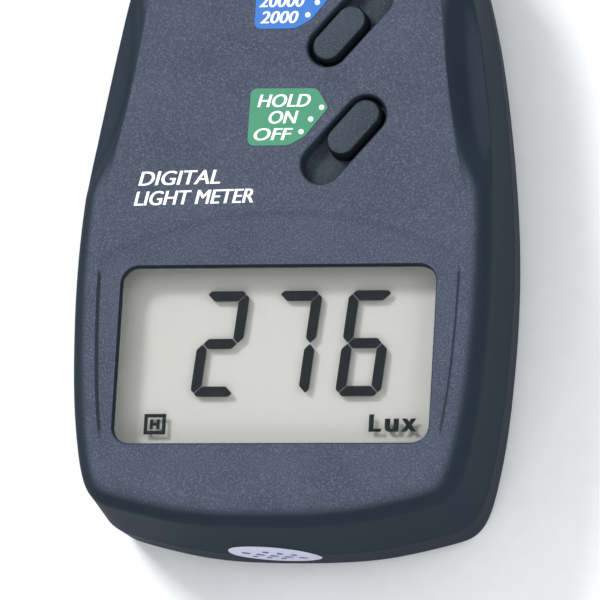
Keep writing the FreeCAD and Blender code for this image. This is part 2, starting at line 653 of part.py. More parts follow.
def lying_rod(name, radius, length, x, y, z):
    """A cylinder along X."""
    pin = doc.addObject("Part::Cylinder", name)
    pin.Placement = Placement(Vector(0, 0, 0), Rotation(Vector(0, 1, 0), 90))
    return bind(pin, Radius=radius, Height=length, x=x, y=y, z=z)


battery_terminals = group("battery_terminals", [
    lying_rod("terminal_plus", "2.85", "2.1", battery_end, "battery_y - 6.35", mid_z),
    lying_rod("terminal_minus", "4.2", "2.1", battery_end, "battery_y + 6.35", mid_z)])
strap = block("snap_strap", "3.6", "25.4", "12.5", f"{battery_end} + 0.3 + 1.8", "battery_y",
              mid_z + " - 6.25")
snap_holes = fuse("snap_holes", [
    lying_rod("snap_plus", "2.9", "2.8", f"{battery_end} - 0.5", "battery_y - 6.35", mid_z),
    lying_rod("snap_minus", "4.25", "2.8", f"{battery_end} - 0.5", "battery_y + 6.35", mid_z)])
battery_snap = cut("battery_snap", strap, snap_holes)

LEAD_RADIUS = 0.65
leads = []
for name, lead_x, lead_z, turn_y in (("battery_lead_red", 23.4, 13.6, -12.4),
                                     ("battery_lead_black", 21.9, 11.2, -11.6)):
    start = Vector(lead_x, val("battery_y") + 12.72, lead_z)
    corner = Vector(lead_x, turn_y, lead_z)
    end = Vector(lead_x, turn_y, val("board_z") - 0.02)
    bend = 0.45 * (end - corner).Length
    before, after = corner - Vector(0, bend, 0), corner + Vector(0, 0, bend)
    middle = corner + Vector(0, -bend, bend) + Vector(0, bend, -bend) * math.sqrt(0.5)
    path = Part.Wire([Part.LineSegment(start, before).toShape(),
                      Part.Arc(before, middle, after).toShape(),
                      Part.LineSegment(after, end).toShape()])
    section = Part.Wire(Part.Circle(start, Vector(0, 1, 0), LEAD_RADIUS).toShape())
    lead = doc.addObject("Part::Feature", name)
    lead.Shape = path.makePipeShell([section], True, False)
    print(name, "bend radius", round(bend, 2), "length", round(path.Length, 1),
          "volume ratio", round(lead.Shape.Volume / (path.Length * math.pi * LEAD_RADIUS ** 2), 3))
    leads.append(lead)

# ---------------------------------------------------------------- screws


def screw(name, x, y, shoulder, shank_radius, shank_length, head_radius, head_height):
    """A pan-head screw pointing up, with a cross recess; shoulder is under its head."""
    shank = rod(f"{name}_shank", shank_radius, f"{shank_length} - 1", x, y, shoulder)
    tip = doc.addObject("Part::Cone", f"{name}_tip")
    bind(tip, Radius1=shank_radius, Radius2="0.3", Height="1", x=x, y=y,
         z=f"{shoulder} + {shank_length} - 1")
    head = rod(f"{name}_head", head_radius, head_height, x, y, f"{shoulder} - {head_height}")
    arms = [block(f"{name}_arm_{i}", wide, deep, "2", x, y, f"{shoulder} - {head_height} - 1.1")
            for i, (wide, deep) in enumerate(((f"{head_radius}", "0.5"), ("0.5", f"{head_radius}")))]
    return cut(name, fuse(f"{name}_solid", [shank, tip, head]), fuse(f"{name}_cross", arms))


case_screws = group("case_screws", [
    screw(f"case_screw_{end}{side + 1}", f"{side} * {end}_boss_x", f"{end}_boss_y", "5.5 - 0.01",
          "screw_radius", "11", "head_radius", "1.8")
    for end, side in BOSSES])
board_screws = group("board_screws", [
    screw(f"board_screw_{i}", str(x), str(y), "board_z - 0.01", "0.85", "5", "1.9", "1.2")
    for i, (x, y) in enumerate(BOARD_POSTS)])

# ---------------------------------------------------------------- electronics, under the board
converter_chip = plate("converter_chip", "10", "10", "2.0", "-9", "9", "board_z - 2.01", "0.3")
amplifier_chip = plate("amplifier_chip", "6.4", "9.8", "3.4", "-10", "25", "board_z - 3.41", "0.3")
trimmers = []
for i, (x, y) in enumerate(((3.0, 2.0), (12.0, 2.0), (3.0, 12.0))):
    case = block(f"trimmer_case_{i}", "6.6", "6.9", "4.6", str(x), str(y), "board_z - 4.61")
    screw_slot = rod(f"trimmer_slot_{i}", "1.5", "1", str(x), str(y), "board_z - 4.9")
    trimmers.append(cut(f"trimmer_{i}", case, screw_slot))
trimmer_group = group("trimmers", trimmers)
electrolytics = group("electrolytic_capacitors", [
    rod(f"electrolytic_{i}", "2.5", "11", str(x), str(y), "board_z - 11.01")
    for i, (x, y) in enumerate(((15.5, 12.0), (15.5, 19.0)))])
films = group("film_capacitors", [
    plate(f"film_{i}", "7.2", "2.6", "5.5", str(x), str(y), "board_z - 5.51", "0.5")
    for i, (x, y) in enumerate(((3.0, 20.0), (3.0, 24.5), (3.0, 29.0)))])
RESISTOR_ROWS = range(6)
resistors = group("resistors", [
    lying_rod(f"resistor_{i}", "0.95", "5.6", "-22", f"-4.2 + {i} * 4.2", "board_z - 0.96")
    for i in RESISTOR_ROWS])

# ---------------------------------------------------------------- stickers
rear_label = plate("rear_label", "34", "24", "0.1", "0", "14", "0.14", "1.2")
# The seal is an oval wrapped round the chin across the joint between the shells.
SEAL_LONG, SEAL_SHORT, SEAL_TILT, SEAL_THICK = 7.8, 4.4, 18.0, 0.15
chin_radius = 170.0
chin_y = -val("case_length") / 2 * 1.001
oval = Part.Ellipse(Vector(0, 0, 0), SEAL_LONG, SEAL_SHORT).toShape()
oval_prism = Part.Face(Part.Wire(oval)).extrude(Vector(0, 0, 6))
oval_prism.Placement = Placement(Vector(-1.5, chin_y - 3, val("parting_z") + 0.2),
                                 Rotation(Vector(1, 0, 0), -90).multiply(
                                     Rotation(Vector(0, 0, 1), SEAL_TILT)))
centre = Vector(0, chin_y + chin_radius, 0)
tube = Part.makeCylinder(chin_radius + 0.04 + SEAL_THICK, 40, centre).cut(
    Part.makeCylinder(chin_radius + 0.04, 40, centre))
seal_sticker = doc.addObject("Part::Feature", "seal_sticker")
seal_sticker.Shape = oval_prism.common(tube)

# ---------------------------------------------------------------- check and write
NODES = [front_shell, back_shell, door, display_window, window_gasket, front_glass, rear_glass,
         reflector, *strips, lcd_frame, board, *moving["power"], doc.power_switch_frame,
         *moving["range"], doc.range_switch_frame, *labels, sensor_bezel, sensor_dome,
         sensor_filter, photodiode, sensor_cup, battery, battery_terminals, battery_snap, *leads,
         case_screws, board_screws, converter_chip, amplifier_chip, trimmer_group, electrolytics,
         films, resistors, rear_label, seal_sticker]

doc.recompute()
for obj in doc.Objects:
    if "Invalid" in obj.State or "Error" in obj.State:
        raise RuntimeError(f"{obj.Name} failed: {obj.State}")
os.makedirs("parts", exist_ok=True)
for node in NODES:
    node.Label = node.Name
    shape = node.Shape
    if shape.isNull() or not shape.isValid() or shape.Volume <= 0:
        raise RuntimeError(node.Label + " has no sound shape")
    shape.exportStep(f"parts/{node.Label}.step")
    box = shape.BoundBox
    print(f"{node.Label:26s} solids {len(shape.Solids)} volume {shape.Volume:9.1f}"
          f"  z {box.ZMin:6.2f} {box.ZMax:6.2f}")
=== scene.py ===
import math

import bmesh
import bpy
import numpy as np
from mathutils import Matrix, Vector
from mathutils.bvhtree import BVHTree


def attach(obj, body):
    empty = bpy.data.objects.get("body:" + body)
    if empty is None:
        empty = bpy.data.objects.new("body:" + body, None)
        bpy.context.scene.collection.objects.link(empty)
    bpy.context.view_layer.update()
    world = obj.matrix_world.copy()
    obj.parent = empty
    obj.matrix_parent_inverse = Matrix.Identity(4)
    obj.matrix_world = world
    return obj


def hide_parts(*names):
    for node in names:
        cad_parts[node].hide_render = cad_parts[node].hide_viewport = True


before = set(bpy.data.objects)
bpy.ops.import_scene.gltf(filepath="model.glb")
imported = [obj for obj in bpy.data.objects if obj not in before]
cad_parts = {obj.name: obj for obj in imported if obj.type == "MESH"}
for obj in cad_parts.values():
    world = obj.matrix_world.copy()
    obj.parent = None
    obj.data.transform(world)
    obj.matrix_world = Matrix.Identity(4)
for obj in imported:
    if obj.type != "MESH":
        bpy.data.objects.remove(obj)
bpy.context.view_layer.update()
MM = 0.001


# ---------------------------------------------------------------- the table and the light
# A pale matt table top under the meter, a big soft box high at the left and a weak one
# at the right, and a long lens that looks down on the display end.

def new_material(name):
    """A fresh node material: its nodes, its links and its surface shader."""
    material = bpy.data.materials.new(name)
    material.use_nodes = True
    return material, material.node_tree.nodes, material.node_tree.links, material.node_tree.nodes["Principled BSDF"]


def fine_noise(nodes, links, grain, detail=3.0, rough=0.6):
    """Noise on the piece's own coordinates; grain is the size of one speck in metres."""
    place = nodes.new("ShaderNodeTexCoord")
    noise = nodes.new("ShaderNodeTexNoise")
    noise.inputs["Scale"].default_value = 1 / grain
    noise.inputs["Detail"].default_value = detail
    noise.inputs["Roughness"].default_value = rough
    links.new(place.outputs["Object"], noise.inputs["Vector"])
    return noise.outputs["Fac"]


def spread(nodes, links, value, low, high, to_low, to_high, smooth=False):
    """Map a value from one range to another."""
    node = nodes.new("ShaderNodeMapRange")
    node.interpolation_type = "SMOOTHSTEP" if smooth else "LINEAR"
    for socket, number in (("From Min", low), ("From Max", high), ("To Min", to_low), ("To Max", to_high)):
        node.inputs[socket].default_value = number
    links.new(value, node.inputs["Value"])
    return node.outputs["Result"]


def blend_colours(nodes, links, share, first, second):
    """A colour between two, each a colour or a socket."""
    node = nodes.new("ShaderNodeMix")
    node.data_type = "RGBA"
    links.new(share, node.inputs["Factor"])
    for socket, colour in ((node.inputs[6], first), (node.inputs[7], second)):
        if isinstance(colour, tuple):
            socket.default_value = (*colour, 1.0)
        else:
            links.new(colour, socket)
    return node.outputs[2]


def raise_bumps(nodes, links, shader, height, depth, strength=1.0):
    """Feed a height in 0..1 to the shader as relief of the given depth in metres."""
    bump = nodes.new("ShaderNodeBump")
    bump.inputs["Distance"].default_value = depth
    bump.inputs["Strength"].default_value = strength
    links.new(height, bump.inputs["Height"])
    links.new(bump.outputs["Normal"], shader.inputs["Normal"])
    return bump


def grained(name, colour, rough, grain=0.4 * MM, depth=0.01 * MM, fleck=0.12, metallic=0.0, specular=0.5):
    """A plain moulded, painted or metal finish with a fine grain in its colour, gloss and height."""
    material, nodes, links, shader = new_material(name)
    noise = fine_noise(nodes, links, grain)
    dark = tuple(c * (1 - fleck) for c in colour)
    light = tuple(min(1.0, c * (1 + fleck)) for c in colour)
    links.new(blend_colours(nodes, links, spread(nodes, links, noise, 0.35, 0.65, 0, 1), dark, light),
              shader.inputs["Base Color"])
    links.new(spread(nodes, links, noise, 0.3, 0.7, rough - 0.06, rough + 0.06), shader.inputs["Roughness"])
    raise_bumps(nodes, links, shader, noise, depth, 0.6)
    shader.inputs["Metallic"].default_value = metallic
    shader.inputs["Specular IOR Level"].default_value = specular
    return material


def finished(name, shape, body, *materials):
    """Turn a bmesh into a piece that rides on a body."""
    mesh = bpy.data.meshes.new(name)
    shape.to_mesh(mesh)
    shape.free()
    piece = bpy.data.objects.new(name, mesh)
    bpy.context.scene.collection.objects.link(piece)
    for material in materials:
        mesh.materials.append(material)
    if body:
        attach(piece, body)
    return piece


TABLE_SIZE = 6.0
table_shape = bmesh.new()
bmesh.ops.create_grid(table_shape, x_segments=2, y_segments=2, size=TABLE_SIZE / 2)
table = finished("table_top", table_shape, None,
                 grained("pale table", (0.90, 0.90, 0.90), 0.75, grain=4 * MM, depth=0.02 * MM, fleck=0.01))


def soft_box(name, place, aim, size, power, tint=(1.0, 1.0, 1.0)):
    """A square area light at a place, turned to its aim."""
    data = bpy.data.lights.new(name, "AREA")
    data.shape = "SQUARE"
    data.size = size
    data.energy = power
    data.color = tint
    lamp = bpy.data.objects.new(name, data)
    lamp.location = place
    lamp.rotation_euler = (Vector(aim) - Vector(place)).to_track_quat("-Z", "Y").to_euler()
    bpy.context.scene.collection.objects.link(lamp)
    return lamp


soft_box("key_box", (-0.68, 0.64, 1.06), (0, -0.02, 0), 0.36, 14.0)
soft_box("front_box", (-0.10, -1.15, 1.15), (0, 0, 0), 0.9, 8.0)
soft_box("side_box", (1.15, 0.15, 1.15), (0, 0, 0), 0.9, 8.0)

world = bpy.data.worlds.new("studio")
world.use_nodes = True
world.node_tree.nodes["Background"].inputs["Color"].default_value = (0.9, 0.95, 1.0, 1.0)
world.node_tree.nodes["Background"].inputs["Strength"].default_value = 0.62
bpy.context.scene.world = world
bpy.context.scene.view_settings.view_transform = "Standard"
bpy.context.scene.cycles.transparent_max_bounces = 32       # the display is seen through six clear faces

AZIMUTH, ELEVATION, ROLL = 39.632, 69.346, -38.184
AIM = Vector((3.812, -20.655, 28.6)) * MM
STAND_OFF = 1144.28 * MM
camera_data = bpy.data.cameras.new("camera")
camera_data.sensor_width = 36.0
camera_data.lens = 430.26
camera_data.clip_start, camera_data.clip_end = 0.05, 20.0
camera = bpy.data.objects.new("camera", camera_data)
turn = (Matrix.Rotation(math.radians(AZIMUTH), 4, "Z")
        @ Matrix.Rotation(math.radians(90 - ELEVATION), 4, "X")
        @ Matrix.Rotation(math.radians(ROLL), 4, "Z"))
camera.matrix_world = Matrix.Translation(AIM + turn.to_3x3() @ Vector((0, 0, STAND_OFF))) @ turn
bpy.context.scene.collection.objects.link(camera)
bpy.context.scene.camera = camera


# ---------------------------------------------------------------- front shell
# The upper half of the case, one ABS moulding: spark-textured face, smooth drafted walls,
# a round shoulder that turns into a thumb scoop with a crisp crest on each side, and a
# shallow arched panel sunk round the display window.
HALF_WIDTH, HALF_LENGTH = 34.85, 58.0
OUTLINE = [
    (0.000, -1.001), (0.230, -0.998), (0.434, -0.986), (0.620, -0.963), (0.746, -0.943),
    (0.838, -0.919), (0.887, -0.884), (0.917, -0.838), (0.945, -0.760), (0.971, -0.650),
    (0.990, -0.500), (1.000, -0.320), (0.997, -0.180), (0.986, -0.060), (0.963, 0.085),
    (0.917, 0.290), (0.851, 0.510), (0.760, 0.715), (0.655, 0.862), (0.497, 0.950),
    (0.262, 0.992), (0.000, 1.000),
]
AROUND = 480            # points round the case
FACE_Z, PARTING_Z, SHOULDER_Z, WALL = 29.0, 10.5, 24.0, 2.0
DRAFT, PARTING_CHAMFER = 0.7, 0.14
SHOULDER_RADIUS = 4.4
SHOULDER_STEPS = 14
SCOOP_Y, SCOOP_REACH = 16.5, 19.0
# thumb scoop from the top of the wall inwards: crisp rim, ledge, steep hollow, crest
SCOOP = [(0.0, -0.5), (0.12, -0.28), (0.7, -0.1), (1.4, 0.05), (2.1, 0.25), (2.75, 0.6), (3.25, 1.1),
         (3.65, 1.75), (3.98, 2.45), (4.3, 3.2), (4.6, 3.9), (4.88, 4.5), (5.08, 4.82), (5.2, 4.95), (5.45, 5.0)]
PANEL_DEPTH, PANEL_HALF, PANEL_TOP, PANEL_ARCH = 0.45, 29.9, -6.2, 0.0083
PANEL_EDGE = 1.3
FACE_STEPS = 60
SPINE = 0.62            # the face closes on a line this share of the case's length


def smooth_loop(points, count):
    """Points evenly spaced on the smooth closed curve through the given ones."""
    p = np.array(points, float)
    n = len(p)
    h = np.linalg.norm(np.roll(p, -1, 0) - p, axis=1)
    system, bend = np.zeros((n, n)), np.zeros((n, 2))
    for i in range(n):
        a, b = h[i - 1], h[i]
        system[i, i - 1] += a
        system[i, i] += 2 * (a + b)
        system[i, (i + 1) % n] += b
        bend[i] = 6 * ((p[(i + 1) % n] - p[i]) / b - (p[i] - p[i - 1]) / a)
    m = np.linalg.solve(system, bend)
    dense = []
    for i in range(n):
        j = (i + 1) % n
        for t in np.linspace(0, h[i], 60, endpoint=False):
            dense.append(m[i] * (h[i] - t) ** 3 / (6 * h[i]) + m[j] * t ** 3 / (6 * h[i])
                         + (p[i] / h[i] - m[i] * h[i] / 6) * (h[i] - t)
                         + (p[j] / h[i] - m[j] * h[i] / 6) * t)
    dense = np.array(dense + [dense[0]])
    along = np.concatenate([[0], np.cumsum(np.linalg.norm(np.diff(dense, axis=0), axis=1))])
    even = np.linspace(0, along[-1], count, endpoint=False)
    return np.stack([np.interp(even, along, dense[:, k]) for k in (0, 1)], 1)


right_side = [(x * HALF_WIDTH, y * HALF_LENGTH) for x, y in OUTLINE]
left_side = [(-x, y) for x, y in right_side[-2:0:-1]]
loop = smooth_loop(right_side + left_side, AROUND)
run = np.roll(loop, -1, 0) - np.roll(loop, 1, 0)
inward = np.stack([-run[:, 1], run[:, 0]], 1) / np.linalg.norm(run, axis=1)[:, None]
NORMAL_BLUR = 7         # points; keeps deep insets from folding over at the corners
weights = np.exp(-0.5 * (np.arange(-3 * NORMAL_BLUR, 3 * NORMAL_BLUR + 1) / NORMAL_BLUR) ** 2)
inward = sum(w * np.roll(inward, k - 3 * NORMAL_BLUR, 0) for k, w in enumerate(weights))
inward = inward / np.linalg.norm(inward, axis=1)[:, None]


def smoothstep(t):
    t = np.clip(t, 0, 1)
    return t * t * (3 - 2 * t)


scoop_share = 1.03 * np.clip(1 - ((loop[:, 1] - SCOOP_Y) / SCOOP_REACH) ** 2, 0, 1) ** 1.3


def ring(inset, height):
    """The case outline moved inwards, at a height; both may differ from point to point."""
    flat = loop + inward * np.broadcast_to(inset, AROUND)[:, None]
    return np.column_stack([flat, np.broadcast_to(height, AROUND)]) * MM


def first_rim(shape, places):
    """Start a shell from a closed rim of vertices on their places."""
    station = shape.verts.layers.int.new("station")
    made = bmesh.ops.create_circle(shape, segments=len(places), radius=1.0)["verts"]
    for i, v in enumerate(made):
        v[station] = i
        v.co = places[i]
    return list(shape.edges)


def grow(shape, rim, places):
    """Extrude an open rim once, move the new rim to its places and give it back."""
    station = shape.verts.layers.int["station"]
    made = bmesh.ops.extrude_edge_only(shape, edges=rim)["geom"]
    for v in made:
        if isinstance(v, bmesh.types.BMVert):
            v.co = places[v[station]]
    return [e for e in made if isinstance(e, bmesh.types.BMEdge) and len(e.link_faces) == 1]


def close_on_spine(shape, rim, edge, steps, height):
    """Fill the inside of a ring with narrowing rings that meet on the case's middle line."""
    spine = edge * [0, SPINE, 1]
    for t in np.linspace(0, 1, steps + 1)[1:]:
        places = edge + (spine - edge) * t
        places[:, 2] = height(places / MM) * MM
        rim = grow(shape, rim, places)


def panel_height(p):
    """Height of the face, with the shallow arched panel sunk round the window."""
    x, y = p[:, 0], p[:, 1]
    top = (PANEL_TOP - PANEL_ARCH * x * x - y) / np.sqrt(1 + (2 * PANEL_ARCH * x) ** 2)
    side = PANEL_HALF - np.abs(x)
    soft = 3.0
    inside = np.minimum(top, side) - np.maximum(soft - np.abs(top - side), 0) ** 2 / (4 * soft)
    fade = smoothstep((y + 52) / 12)
    return FACE_Z - PANEL_DEPTH * smoothstep(inside / PANEL_EDGE + 0.5) * fade


def shade_smooth(piece, degrees=35.0):
    """Smooth shading with edges sharper than the angle kept crisp."""
    piece.data.shade_smooth()
    piece.data.set_sharp_from_angle(angle=math.radians(degrees))


front_shape = bmesh.new()
# Shoulder mark: in the thumb scoops and on the steep side shoulders the case is smooth, and it is also painted darker
# there as shade.
polish_and_shade = front_shape.verts.layers.float.new("polish_and_shade")
scoop_polish_and_shade = np.minimum(0.85, 1.6 * scoop_share)
side_polish_and_shade = 0.85 * smoothstep((np.abs(inward[:, 0]) - 0.5) / 0.4)
inner_rim = first_rim(front_shape, ring(WALL, PARTING_Z + 0.02))
station = front_shape.verts.layers.int["station"]
rim = grow(front_shape, inner_rim, ring(PARTING_CHAMFER, PARTING_Z + 0.02))
rim = grow(front_shape, rim, ring(0.0, PARTING_Z + 0.02 + PARTING_CHAMFER))
for z in np.linspace(PARTING_Z + 0.6, SHOULDER_Z - 1.0, 5):
    rim = grow(front_shape, rim, ring(DRAFT * (z - PARTING_Z) / (SHOULDER_Z - PARTING_Z), z))
for step in range(SHOULDER_STEPS + 1):
    angle = math.pi / 2 * step / SHOULDER_STEPS
    plain = SHOULDER_RADIUS * (1 - math.cos(angle)), SHOULDER_RADIUS * math.sin(angle)
    drop = FACE_Z - SHOULDER_Z - SHOULDER_RADIUS
    scoop = SCOOP[step]
    edge = ring(DRAFT + plain[0] + scoop_share * (scoop[0] - plain[0]),
                SHOULDER_Z + plain[1] + drop + scoop_share * (scoop[1] - plain[1] - drop))
    rim = grow(front_shape, rim, edge)
    # Where the mark is set, the darker wall colour, which is painted shade, spreads up the shoulder.
    polished_and_shaded = np.maximum(scoop_polish_and_shade * (step < SHOULDER_STEPS), side_polish_and_shade * smoothstep((11 - step) / 3))
    for v in {v for e in rim for v in e.verts}:
        v[polish_and_shade] = polished_and_shaded[v[station]]
close_on_spine(front_shape, rim, edge, FACE_STEPS, panel_height)
rim = grow(front_shape, inner_rim, ring(WALL + DRAFT, SHOULDER_Z - 2.5))
rim = grow(front_shape, rim, ring(WALL + DRAFT + 0.3 + 2.2 * scoop_share, SHOULDER_Z - 1.6))
rim = grow(front_shape, rim, ring(WALL + DRAFT + 1.3 + 3.0 * scoop_share, SHOULDER_Z + 1.2 - 0.8 * scoop_share))
edge = ring(WALL + DRAFT + 3.8 + 1.8 * scoop_share, FACE_Z - WALL)
rim = grow(front_shape, rim, edge)
close_on_spine(front_shape, rim, edge, 2, lambda p: np.full(len(p), FACE_Z - WALL))
bmesh.ops.remove_doubles(front_shape, verts=front_shape.verts, dist=1e-7)
bmesh.ops.dissolve_degenerate(front_shape, edges=front_shape.edges, dist=1e-7)
bmesh.ops.recalc_face_normals(front_shape, faces=front_shape.faces)


def textured_plastic(name, face, shaded_wall, glint_speckle):
    """Case plastic: matt spark texture where a surface looks up or down, smooth on the walls; walls and marked
    shoulders are painted darker as shade, and the light flecks on the texture are painted glints.
    """
    material, nodes, links, shader = new_material(name)
    place = nodes.new("ShaderNodeTexCoord")
    parts = nodes.new("ShaderNodeSeparateXYZ")
    links.new(place.outputs["Normal"], parts.inputs["Vector"])
    level = nodes.new("ShaderNodeMath")
    level.operation = "ABSOLUTE"
    links.new(parts.outputs["Z"], level.inputs[0])
    polished_and_shaded = nodes.new("ShaderNodeAttribute")
    polished_and_shaded.attribute_name = "polish_and_shade"
    grip = nodes.new("ShaderNodeMath")
    grip.operation = "MULTIPLY"
    links.new(spread(nodes, links, level.outputs[0], 0.66, 0.95, 0, 1, smooth=True), grip.inputs[0])
    links.new(spread(nodes, links, polished_and_shaded.outputs["Fac"], 0, 1, 1, 0), grip.inputs[1])
    flat = grip.outputs[0]
    sparks = fine_noise(nodes, links, 0.26 * MM, detail=2.0, rough=0.7)
    cloud = fine_noise(nodes, links, 9 * MM, detail=3.0)
    face_dark = tuple(c * 0.80 for c in face)
    mottled = blend_colours(nodes, links, spread(nodes, links, cloud, 0.3, 0.7, 0, 1), face_dark, face)
    # Light flecks on the spark texture are painted glints, where the texture would catch the light.
    glint_flecked = blend_colours(nodes, links, spread(nodes, links, sparks, 0.48, 0.72, 0, 0.62), mottled, glint_speckle)
    # Walls and marked shoulders take the darker wall colour, which is painted shade; the face keeps its mottled
    # colour.
    links.new(blend_colours(nodes, links, flat, shaded_wall, glint_flecked), shader.inputs["Base Color"])
    links.new(spread(nodes, links, flat, 0, 1, 0.42, 0.58), shader.inputs["Roughness"])
    bump = raise_bumps(nodes, links, shader, sparks, 0.06 * MM)
    links.new(spread(nodes, links, flat, 0, 1, 0.06, 0.9), bump.inputs["Strength"])
    links.new(spread(nodes, links, flat, 0, 1, 0.006, 0.05), shader.inputs["Specular IOR Level"])
    return material


# Colours: the face, the walls painted darker as shade, and the light flecks painted as glints.
front_plastic = textured_plastic("front_case_plastic", (0.058, 0.070, 0.101), (0.021, 0.030, 0.040),
                                 (0.155, 0.175, 0.225))
front_shell = finished("front_shell_body", front_shape, "case", front_plastic)


def carve(piece, tool_shape, operation="DIFFERENCE"):
    """Cut a tool from a piece, or join it on, and keep the result in the piece's mesh."""
    tool = finished("tool", tool_shape, None)
    step = piece.modifiers.new("carve", "BOOLEAN")
    step.operation = operation
    step.solver = "EXACT"
    step.object = tool
    old = piece.data
    piece.data = bpy.data.meshes.new_from_object(piece.evaluated_get(bpy.context.evaluated_depsgraph_get()))
    piece.data.name = old.name
    piece.modifiers.clear()
    bpy.data.objects.remove(tool)


def rounded_box(width, depth, low, high, corner, x=0.0, y=0.0, segments=6):
    """An upright block in millimetres with round upright corners."""
    shape = bmesh.new()
    bmesh.ops.create_cube(shape, size=1.0)
    bmesh.ops.scale(shape, vec=Vector((width, depth, high - low)) * MM, verts=shape.verts)
    bmesh.ops.translate(shape, vec=Vector((x, y, (low + high) / 2)) * MM, verts=shape.verts)
    if corner:
        upright = [e for e in shape.edges if abs(e.verts[0].co.z - e.verts[1].co.z) > 1e-6]
        bmesh.ops.bevel(shape, geom=upright, offset=corner * MM, segments=segments, profile=0.5,
                        affect="EDGES", material=-1)
    return shape


def post(radius, low, high, x, y, segments=32, top_radius=None):
    """An upright round peg in millimetres."""
    shape = bmesh.new()
    bmesh.ops.create_cone(shape, cap_ends=True, segments=segments, radius1=radius * MM,
                          radius2=(radius if top_radius is None else top_radius) * MM, depth=(high - low) * MM)
    bmesh.ops.translate(shape, vec=Vector((x, y, (low + high) / 2)) * MM, verts=shape.verts)
    return shape


WINDOW_Y, WINDOW_WIDTH, WINDOW_HEIGHT, WINDOW_CORNER = -29.5, 51.6, 29.3, 2.8
SLOT_X, SLOT_Y, SLOT_ANGLE = 9.5, {"power": 6.05, "range": 25.8}, 50.0
SLOT_LENGTH, SLOT_WIDTH, SLOT_FOOT = 16.4, 5.9, 26.1
SLOT_AROUND = 72


def pill(length, width, x, y, height, angle=SLOT_ANGLE, count=SLOT_AROUND):
    """Points round a slot shape in millimetres, turned to the switches' slope."""
    radius, reach = width / 2, (length - width) / 2
    quarter = count // 2
    turns = np.concatenate([np.linspace(-90, 90, quarter), np.linspace(90, 270, quarter)])
    ends = np.repeat([reach, -reach], quarter)
    a = np.radians(turns)
    flat = np.stack([ends + radius * np.cos(a), radius * np.sin(a)], 1)
    c, s = math.cos(math.radians(angle)), math.sin(math.radians(angle))
    flat = flat @ np.array([[c, s], [-s, c]]) + (x, y)
    return np.column_stack([flat, np.full(len(flat), height)]) * MM


def stacked(sections):
    """A solid through a stack of rims, capped at both ends."""
    shape = bmesh.new()
    rim = first_rim(shape, sections[0])
    low_cap = list(rim)
    for places in sections[1:]:
        rim = grow(shape, rim, places)
    bmesh.ops.edgeloop_fill(shape, edges=low_cap)
    bmesh.ops.edgeloop_fill(shape, edges=rim)
    bmesh.ops.recalc_face_normals(shape, faces=shape.faces)
    return shape


def window_cutter():
    """The display opening, its top edge slightly rounded off."""
    shape = bmesh.new()
    levels = ((0.0, 24.0), (0.0, 28.1), (0.05, 28.35), (0.22, 28.56), (0.6, 28.75))
    corner = WINDOW_CORNER
    outline = []
    for cx, cy, start in ((1, -1, -90), (1, 1, 0), (-1, 1, 90), (-1, -1, 180)):
        for a in np.radians(np.linspace(start, start + 90, 9)):
            outline.append((cx * (WINDOW_WIDTH / 2 - corner), cy * (WINDOW_HEIGHT / 2 - corner),
                            math.cos(a), math.sin(a)))
    outline = np.array(outline)
    sections = []
    for flare, z in levels:
        flat = outline[:, :2] + outline[:, 2:] * (corner + flare) + (0, WINDOW_Y)
        sections.append(np.column_stack([flat, np.full(len(flat), z)]) * MM)
    return stacked(sections)


def slot_cutter(switch):
    """One switch opening: a drafted slot that flares softly into the face."""
    levels = ((0.0, 24.5), (0.0, SLOT_FOOT), (0.33, 28.2), (0.42, 28.6), (0.58, 28.84), (0.85, 28.98), (1.3, 29.1))
    return stacked([pill(SLOT_LENGTH + 2 * flare, SLOT_WIDTH + 2 * flare, SLOT_X, SLOT_Y[switch], z)
                    for flare, z in levels])


SENSOR_Y, DOME_RADIUS, BEZEL_RADIUS = 45.5, 6.2, 8.0
carve(front_shell, window_cutter())
for switch in SLOT_Y:
    carve(front_shell, slot_cutter(switch))
carve(front_shell, post(BEZEL_RADIUS + 0.05, 27.8, 31.0, 0, SENSOR_Y, 64))
carve(front_shell, post(DOME_RADIUS + 0.9, 24.0, 30.0, 0, SENSOR_Y, 64))
BOSSES = [(22.0, -49.4), (-22.0, -49.4), (18.5, 41.5), (-18.5, 41.5)]
for x, y in BOSSES:
    tube = post(3.0, PARTING_Z + 0.15, 27.6, x, y)
    carve(front_shell, tube, "UNION")
    carve(front_shell, post(1.3, PARTING_Z - 1, 19.5, x, y, 24))
shade_smooth(front_shell, 38)
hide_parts("front_shell")


# ---------------------------------------------------------------- back shell
# The lower half, a plainer ABS moulding: a floor with the battery bay's opening, four
# counterbored screw bosses, the bay's walls inside and a seat for the rear label.
BACK_DRAFT, EDGE_ROUND = 0.6, 3.0
DOOR_X, DOOR_Y, DOOR_WIDTH, DOOR_HEIGHT, DOOR_GAP = -0.4, -31.5, 52.8, 29.8, 0.3

back_shape = bmesh.new()
inner_rim = first_rim(back_shape, ring(WALL, PARTING_Z - 0.02))
rim = grow(back_shape, inner_rim, ring(PARTING_CHAMFER, PARTING_Z - 0.02))
rim = grow(back_shape, rim, ring(0.02, PARTING_Z - 0.02 - PARTING_CHAMFER))
for z in (8.8, 6.9, 5.0):
    rim = grow(back_shape, rim, ring(BACK_DRAFT * (PARTING_Z - z) / (PARTING_Z - EDGE_ROUND), z))
for step in range(9):
    angle = math.pi / 2 * step / 8
    edge = ring(BACK_DRAFT + EDGE_ROUND * (1 - math.cos(angle)), EDGE_ROUND * (1 - math.sin(angle)))
    rim = grow(back_shape, rim, edge)
close_on_spine(back_shape, rim, edge, 12, lambda p: np.zeros(len(p)))
rim = grow(back_shape, inner_rim, ring(WALL + BACK_DRAFT, 4.6))
edge = ring(WALL + BACK_DRAFT + 2.4, WALL)
rim = grow(back_shape, rim, edge)
close_on_spine(back_shape, rim, edge, 2, lambda p: np.full(len(p), WALL))
bmesh.ops.remove_doubles(back_shape, verts=back_shape.verts, dist=1e-7)
